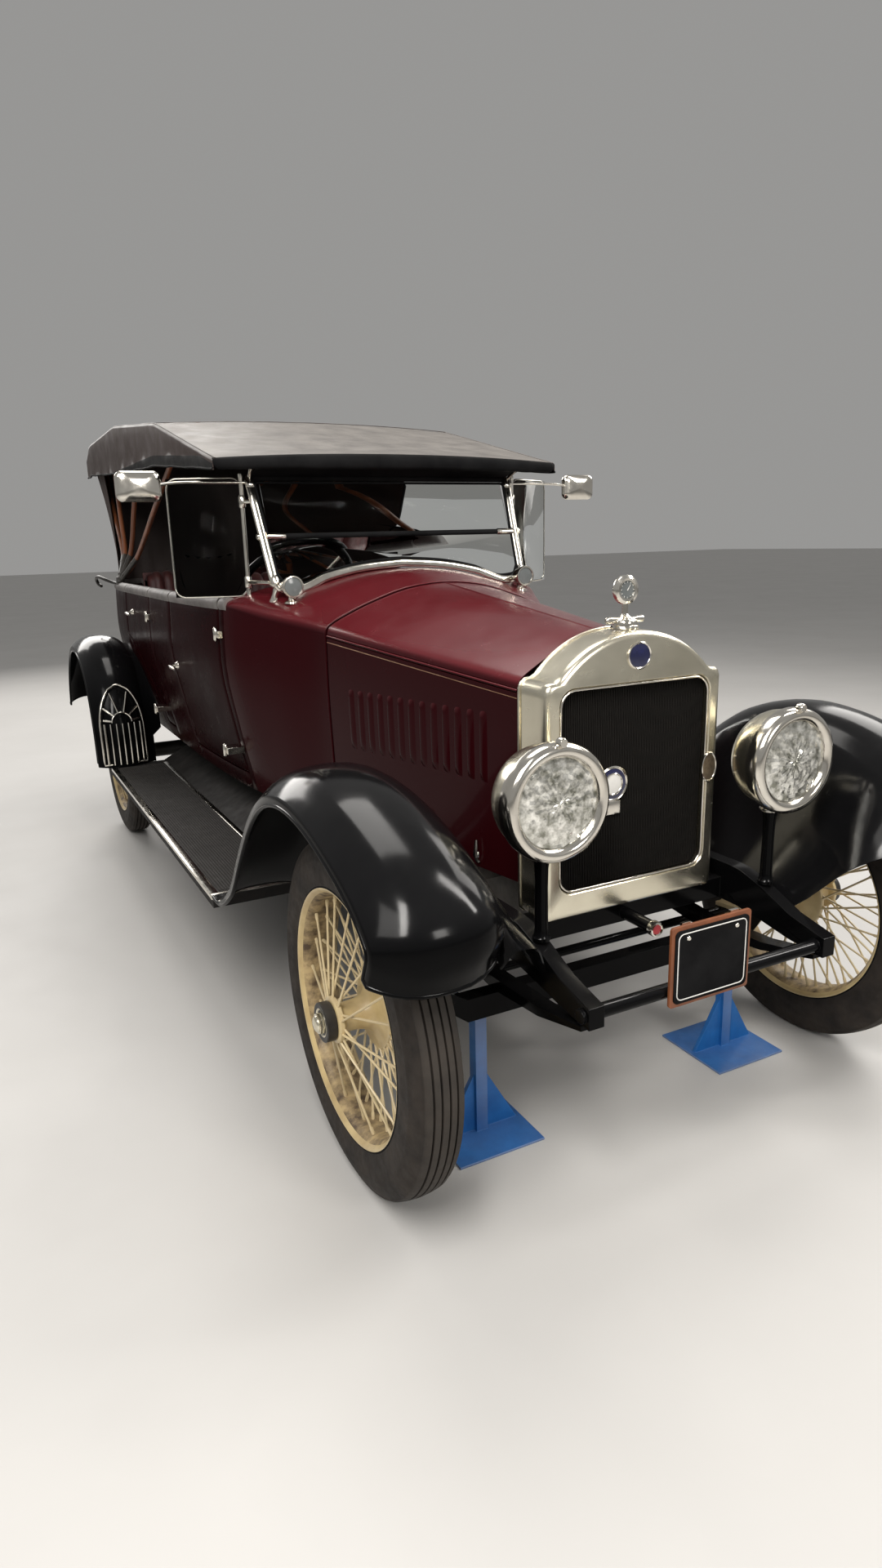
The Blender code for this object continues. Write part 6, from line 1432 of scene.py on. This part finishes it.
def top_row(y):
    """The points across the top at y, from the left valance's foot to the right one's."""
    z, half, valance = top_at(y)
    span = max(i for i in range(len(BOW_YS) - 1) if BOW_YS[i] <= y + 1e-9)
    share = (y - BOW_YS[span]) / (BOW_YS[span + 1] - BOW_YS[span])
    sag = sin(PI * share) ** 1.3
    row = []
    for s in sines(0.985, 32):
        dip = 0.006 * sag * (1 - abs(s) ** 3) + 0.0013 * noise(s * 0.9, y, 1.0) * (0.3 + sag)
        row.append(Vector((half * s, y, z - crowned(s) - max(0.0, dip))))
    edge = z - TOP_CROWN
    lower = edge - valance
    # band is the height of the strip along the valance's foot that gets the dark band finish: painted
    # shade, deepest at the front and narrowing towards the back
    band = min(0.034 * min(1.0, max(0.0, (3.1 - y) / 0.9)) + 0.008, valance - 0.016)
    levels = [edge - 0.0035] + spread(edge - 0.01, lower + band, 4)
    levels += [lower + band - 0.0012, mix(lower + band, lower, 0.5), lower]
    right = []
    for j, level in enumerate(levels):
        down = j / (len(levels) - 1)
        wave = 0.0011 * down * noise(y * 2.3, down, 4.0) + 0.0012 * sin(PI * down)
        out = half - 0.0015 * (j == 0) - 0.006 * sag * down + wave + (0.0012 if j > 5 else 0.0)
        right.append(Vector((min(out, half), y, level + 0.002 * down * noise(y * 1.7, 0.4, 2.0))))
    left = [Vector((-p.x, p.y, p.z)) for p in right]
    return right[::-1] + row[::-1] + left


def top():
    rows = [top_row(y) for y in spread(TOP_START, TOP_END, TOP_STEPS)]
    width, length, area = sheet_size(rows)
    made = Shape().grid(rows).piece("top_sheet", "cloth", 60, solid=(0.003, -1), node="top_cloth")
    made.data.materials.append(FINISH["band"])
    across = len(rows[0]) - 1
    # The strips along both valances' feet take the dark band finish as painted shade
    for k, face in enumerate(made.data.polygons):
        column = k % across
        if column < 3 or column > across - 4:
            face.material_index = 1
    hem, seams, latches = Shape(), Shape(), Shape()
    for edge in (0, -1):
        hem.tube([row[edge] + Vector((0, 0, 0.004)) for row in rows], 0.0042, 8)
    for edge in (9, -10):
        seams.tube([row[edge] + Vector((0, 0, -0.0004)) for row in rows], 0.0026, 8)
    for y in BOW_YS[1:4]:
        k = round((y - TOP_START) / (TOP_END - TOP_START) * TOP_STEPS)
        for shift in (-0.013, 0.013):
            seams.tube([p + Vector((0, shift, 0.0002)) for p in rows[k][10:-10]], 0.0014, 6)
    extra = [hem.piece("top_hem", "band", 60), seams.piece("top_seams", "cloth", 60), front_valance()]
    for side in SIDES:
        latches.tube(spline(sided(side, HOOK), 4), 0.006, 10)
        latches.lathe(HOOK_PIN, (side * 0.502, 1.27, 1.702), (side, 0, 0), 14)
    latches.piece("top_latches", "bright", 45)


def front_valance():
    """The stuffed dark roll along the header, hiding the windscreen's top rail, and the rail behind it."""
    z, half = TOP[0][1:3]
    rings = []
    for s in sines(1, 48):
        head = z - crowned(s) + 0.0015
        end = max(0.0, (abs(s) - 0.975) / 0.025)
        depth = mix(0.05, 0.036, abs(s) ** 2) * (1 - 0.35 * end) + 0.0016 * noise(s * 0.7, 1.0, 3.0)
        bulge = 0.013 * (1 - 0.6 * end)
        section = [
            (0.014, -0.003), (0.004, 0.0), (-0.35 * bulge, -0.003), (-0.85 * bulge, -0.2 * depth),
            (-bulge, -0.5 * depth), (-0.8 * bulge, -0.8 * depth), (-0.3 * bulge, -0.97 * depth),
            (0.004, -depth), (0.009, -0.9 * depth), (0.01, -0.4 * depth),
        ]
        y = TOP_START + 0.004 * end
        rings.append([(half * s * 0.997, y + dy, head + dz) for dy, dz in section])
    roll = Shape().rings(rings).piece("top_front_valance", "band", 50)
    shares = (-0.97, -0.9, -0.7, -0.45, -0.2, 0, 0.2, 0.45, 0.7, 0.9, 0.97)
    line = [(half * s, 1.238, z - crowned(s) - 0.0155) for s in shares]
    Shape().tube(spline(line, 3), 0.011, 10).piece("top_header", "band", 60)
    return roll


CURTAIN_LOW, CURTAIN_HIGH = 1.2615, 1.9304
BACK_LOW, BACK_HIGH = 3.844, 4.0525
CURTAIN_HEAD = [(0.611, 3.662), (0.611, 3.80), (0.611, 3.92), (0.602, 3.985), (0.572, 4.03)]
STRAP = ((-0.014, -0.001), (0.014, -0.001), (0.014, 0.0025), (-0.014, 0.0025))


def back_at(z):
    """Where the back curtain lies at a height."""
    t = (z - CURTAIN_LOW) / (CURTAIN_HIGH - CURTAIN_LOW)
    return mix(BACK_LOW, BACK_HIGH, t) - 0.0084 * sin(PI * min(max(t, 0.0), 1.0))


def curtain():
    foot = [(body_at(y)[0] - 0.016, y) for y in (3.662, 3.70, 3.735, 3.79, 3.825)]
    foot += [(x, BACK_LOW) for x in spread(0.42, 0.0, 8)]
    head = CURTAIN_HEAD + [(x, BACK_HIGH) for x in spread(0.51, 0.0, 8)]
    z, half = TOP[-1][1:3]
    rows = []
    for t in spread(0, 1, 24):
        bow = 0.012 * sin(PI * t)
        line = []
        for (fx, fy), (hx, hy) in zip(foot, head):
            line.append(Vector((mix(fx, hx, t) - bow * (fx > 0.43), mix(fy, hy, t) - bow * 0.7, 0)))
        row = []
        for i, p in enumerate(both(spline(line, 5))):
            fold = abs(0.0022 * sin(i * 0.52 + 1.2 * t) * (0.25 + 0.75 * abs(t - 0.5) * 2))
            crown_z = z - 0.0135 - crowned(min(1.0, abs(p.x) / half))
            x = p.x - math.copysign(fold, p.x)
            row.append(Vector((x, p.y - fold, mix(CURTAIN_LOW, crown_z, t))))
        rows.append(row)
    width, length, area = sheet_size(rows)
    made = Shape().grid(rows)
    made = made.piece("top_curtain_sheet", "cloth", 80, solid=(0.0028, 0.0), node="top_curtain")
    outline = rounded((-0.19, 1.525), (0.19, 1.675), 0.03)

    def on_back(pair, out):
        return (pair[0], back_at(pair[1]) + 0.001 + out, pair[1])

    rim = Shape().tube([on_back(p, 0) for p in outline], 0.0055, 8, loop=True)
    pane = Shape().prism(outline, on_back, -0.001, 0.0015)
    straps = Shape()
    for side in SIDES:
        x = side * 0.33
        levels = spread(1.275, 1.90, 10)
        straps.rings([[(x + dx, back_at(level) + dy, level) for dx, dy in STRAP] for level in levels])
    extra = [
        rim.piece("back_window_rim", "band", 60), pane.piece("back_window_pane", "silver_pane", 30),
        straps.piece("curtain_straps", "band", 40),
    ]


PIVOT = (0.632, 3.30, 1.2915)
# Half width and share of the way up
KNEES = ((0.5796, 0.2), (0.5376, 0.93))
RIVET = ((0, 16.5), (4.5, 16), (6, 12.8))
PIVOT_DISC = ((0, -17), (22, -17), (25, -12))
CURL = (
    (0.628, 3.36, 1.275), (0.655, 3.42, 1.285), (0.685, 3.47, 1.30), (0.705, 3.53, 1.312),
    (0.71, 3.585, 1.30), (0.70, 3.60, 1.272), (0.69, 3.575, 1.262),
)


def bows():
    made, metal, bracket = Shape(), Shape(), Shape()
    pivot = Vector(PIVOT)
    for y in BOW_YS[1:4] + (4.022,):
        top_z = top_at(y)[0] - 0.0178
        shoulder = between(TOP, y)[0] - 0.0223 - 0.044
        low_knee, knee = (
            Vector((x, mix(pivot.y, y, t), mix(pivot.z, shoulder, t))) for x, t in KNEES
        )
        line = [pivot, low_knee, mix(low_knee, knee, 0.5), knee]
        line += [Vector((0.64 * s, y, top_z - crowned(s))) for s in (0.78, 0.6, 0.4, 0.2, 0.0)]
        made.tube(both(spline(line, 6)), 0.0118, 12)
        for side in SIDES:
            start, end = (Vector(p) for p in sided(side, (pivot, low_knee)))
            metal.tube([start, end], 0.0132, 12)
            for t in (0.3, 0.8):
                metal.lathe(RIVET, mix(start, end, t), (side, 0, 0), 10)
    made.piece("top_bows_wood", "bow_wood", 60, node="top_bows")
    metal.piece("top_bow_irons", "frame_black", 45)
    for side in SIDES:
        x, y, z = side * PIVOT[0], PIVOT[1], PIVOT[2]
        bracket.lathe(mirrored(PIVOT_DISC), (x, y, z), (side, 0, 0), 24)
        bracket.tube([(x, y, 1.262), (x, y, 1.29)], 0.015, 14)
        bracket.tube(spline(sided(side, CURL), 5), 0.0085, 10)
    bracket.piece("top_brackets", "frame_black", 45)


def side_curtain():
    """The dark curtain that closes the left side behind the front seat."""
    foot = curve_through(((2.64, 0.652), (3.3, 0.652), (3.42, 0.645), (3.52, 0.625), (3.668, 0.586)))
    rows = []
    for t in spread(0, 1, 16):
        row = []
        for i, y in enumerate(spread(2.64, 3.668, 48)):
            head = 0.644 - 0.026 * (y - 2.64) ** 2
            high = top_at(y)[0] - TOP_CROWN - 0.05
            fold = 0.002 * sin(i * 0.45 + 2.0 * t) * sin(PI * t)
            row.append(Vector((mix(foot(y)[0], head, t) - abs(fold), y, mix(1.296, high, t))))
        rows.append(row)
    width, length, area = sheet_size(rows)
    made = Shape().grid(rows).piece("side_curtain_sheet", "cloth", 80, solid=(0.0024, 0.0))
    hem = Shape()
    for line in ([row[0] for row in rows], rows[0], rows[-1]):
        hem.tube(line, 0.0032, 8)
    hem.piece("side_curtain_hem", "band", 60)


bows()
top()
curtain()
side_curtain()


# Seats

SEAT_FLOOR = 0.6315
# Distance from the bench's front and height
BASE = ((0.035, SEAT_FLOOR), (0.03, 0.845), (0.60, 0.845), (0.60, SEAT_FLOOR))
PANEL = (
    (0.612, SEAT_FLOOR), (0.612, 0.98), (0.695, 1.31), (0.68, 1.322), (0.60, 0.99), (0.59, SEAT_FLOOR),
)
# Depth and height
CUSHION, SQUAB = (0.485, 0.13), (0.115, 0.40)
PLEAT_STEPS, END_STEPS, END_ROUND, PLEAT_DEPTH = 8, 6, 0.035, 0.012


def pleated(name, half, pleats, size, corner, place, lean=0.0, crown=0.0):
    """A stuffed pad, crowned across, with sewn pleats.

    Size is (deep, high). Place is the middle of its foot's front edge.
    """
    deep, high = size
    total = pleats * PLEAT_STEPS
    ends = [i / END_STEPS for i in range(END_STEPS)]
    places = [(-half + END_ROUND * t, sqrt(max(0.0, 1 - (1 - t) ** 2))) for t in ends]
    places += [(x, 1.0) for x in spread(-half + END_ROUND, half - END_ROUND, total)]
    places += [(-x, s) for x, s in reversed(places[:END_STEPS])]
    rings = []
    for index, (x, swell) in enumerate(places):
        inner = index - END_STEPS
        inset = PLEAT_DEPTH
        if 0 <= inner <= total:
            share = (inner % PLEAT_STEPS) / PLEAT_STEPS
            inset = PLEAT_DEPTH * (1 - sin(PI * share) ** 0.7)
        inset += END_ROUND * (1 - swell)
        bulge = crown * (1 - (x / half) ** 2)
        ring = []
        for y, z in rounded((inset, inset * 0.4), (deep - inset, high - inset), corner, 5):
            top_share = max(0.0, (z / high - 0.5) * 2)
            z += bulge * top_share * sin(PI * min(max(y / deep, 0), 1))
            ring.append((x, place[0] + y + lean * z, place[1] + z))
        rings.append(ring)
    return Shape().rings(rings).piece(name, "leather", 70)


def bench(name, y, half, pleats):
    wide = half - 0.004

    def board(profile, reach):
        return Shape().rings([[(x, y + back, z) for back, z in profile] for x in (-reach, reach)])

    board(BASE, half - 0.01).piece(f"{name}_base", "leather", 30, bevel=(0.008, 3), node=name)
    foot, squab_foot = (y + 0.006, 0.842), (y + 0.497, 0.955 - 0.03)
    cushion = pleated(f"{name}_cushion", wide, pleats, CUSHION, 0.035, foot, crown=0.016)
    back = pleated(f"{name}_squab", wide, pleats, SQUAB, 0.045, squab_foot, lean=0.2, crown=0.008)
    for pad in (cushion, back):
        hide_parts(name)
    board(PANEL, half).piece(f"{name}_panel", "leather", 30, bevel=(0.006, 3))


bench("seat_front", 1.90, 0.505, 16)
bench("seat_rear", 3.04, 0.443, 14)


# Dashboard and steering wheel

# Place across, height, and radius in millimetres
DIALS = (
    (-0.19, 1.205, 50), (-0.05, 1.215, 62), (0.09, 1.205, 50), (0.22, 1.19, 36), (-0.33, 1.18, 32),
)
DASH_Y = 1.291
# Share of the dial's radius and height
DIAL_RIM = ((1, 0), (1, 12), (0.95, 16), (0.86, 14), (0.84, 8), (0.84, 0))
DIAL_PLATE = ((0, 8), (0.85, 8), (0.85, 4), (0, 4))
KNOB = ((4, 0), (4, 12), (10, 14), (12, 20), (10, 26), (0, 27))
SPIDER_HUB = ((0, 12), (20, 11), (28, 6), (30, -4), (30, -20), (24, -26), (0, -26))
SPIDER_ARM = ((0.02, -0.012), (0.08, -0.01), (0.16, -0.003), (0.198, 0))
LEVER_END = ((0, -12), (6, -10), (8.5, 0))


def dashboard():
    rims, faces, marks, knobs = Shape(), Shape(), Shape(), Shape()
    for x, z, size in DIALS:
        r = size / 1000
        rim, face = ([(size * share, h) for share, h in row] for row in (DIAL_RIM, DIAL_PLATE))
        rims.lathe(rim, (x, DASH_Y, z), REARWARD, 36, loop=True)
        faces.lathe(face, (x, DASH_Y, z), REARWARD, 32)
        for a in spread(220, -40, 10):
            way = upright_way(radians(a))
            marks.tube([Vector((x, 1.2995, z)) + way * s * r for s in (0.62, 0.76)], r * 0.022, 4)
        hand = [(x - 0.1 * r, 1.3, z - 0.08 * r), (x + 0.5 * r, 1.3, z + 0.42 * r)]
        marks.tube(hand, [r * 0.04, r * 0.012], 6)
    rims.piece("dial_rims", "bright", 40)
    faces.piece("dial_faces", "white", 30)
    marks.piece("dial_marks", "core", 30)
    for x in (0.30, 0.35, 0.40):
        knobs.lathe(KNOB, (x, DASH_Y, 1.15), REARWARD, 20)
    knobs.piece("dash_knobs", "bright", 40)


def steering_wheel():
    joint = next(j for j in frame["joints"] if j["name"] == "steering_shaft")
    axis = Vector(joint["axis"]).normalized()
    if axis.z < 0:
        axis.negate()
    place = wheel_place((-0.285, 1.50, 1.33), axis)
    grip = [0.0142 - 0.0007 * (i % 3 == 0) for i in range(72)]
    rim = Shape().tube([polar(0.205, a) for a in turns(72)], grip, 14, loop=True)
    rim.piece("steering_rim", "black", 60, "hand_wheel", place, node="steering_wheel")
    spokes, quadrant = Shape(), Shape()
    for a in turns(4):
        line = [polar(1, PI / 4 + a) * reach + Vector((0, 0, z)) for reach, z in SPIDER_ARM]
        spokes.tube(line, [0.0095, 0.0075, 0.0065, 0.0085], flat=0.6)
    spokes.lathe(SPIDER_HUB, ORIGIN, UP, 32)
    spokes.piece("steering_spider", "bright", 40, "hand_wheel", place)
    quadrant.tube([polar(0.07, a, 0.03) for a in spread(0.2, PI - 0.2, 20)], 0.0035, 8)
    for a, reach in ((0.7, 0.105), (2.2, 0.1)):
        end = polar(reach, a, 0.04)
        quadrant.tube([(0, 0, 0.024), end * 0.6 + Vector((0, 0, 0.012)), end], [0.005, 0.0035, 0.0035], 8)
        quadrant.lathe(mirrored(LEVER_END), end, polar(1, a), 14)
    quadrant.tube([(0, 0, 0.0135), (0, 0, 0.033)], 0.009, 14)
    quadrant.piece("steering_quadrant", "bright", 45, "hand_wheel", place)


dashboard()
steering_wheel()


# CAD nodes that stay: a bevel along their edges, except on glass, and a finish each

KEPT = {
    "black": ("chassis_frame", "front_axle", "tie_rod"),
    "blue": ("axle_stand_left", "axle_stand_right"),
    "cream": ("knuckle_left", "knuckle_right"),
    "dash_wood": ("dashboard",),
    "frame_black": ("fuel_tank", "rear_axle", "steering_column"),
    "glass": (
        "windscreen_glass_lower", "windscreen_glass_upper", "wing_glass_left", "wing_glass_right",
    ),
    "iron": ("engine_block", "exhaust", "gearbox"),
    "mat": ("running_board_left", "running_board_right"),
}
EDGE_BEVEL, EDGE_ANGLE, WELD = 0.0016, radians(38), 0.0001


def keep(name, look):
    node = NODES[name]
    mesh = node.data
    if "custom_normal" in mesh.attributes:
        mesh.attributes.remove(mesh.attributes["custom_normal"])
    mesh.shade_smooth()
    weld = node.modifiers.new("weld", "WELD")
    weld.merge_threshold = WELD
    if look != "glass":
        rounding = node.modifiers.new("bevel", "BEVEL")
        rounding.width, rounding.segments = EDGE_BEVEL, 2
        rounding.limit_method, rounding.angle_limit = "ANGLE", EDGE_ANGLE
        rounding.use_clamp_overlap = True
        node.modifiers.new("normals", "WEIGHTED_NORMAL")
    mesh.materials.clear()
    mesh.materials.append(FINISH[look])


for look, names in KEPT.items():
    for name in names:
        keep(name, look)

bpy.context.view_layer.update()
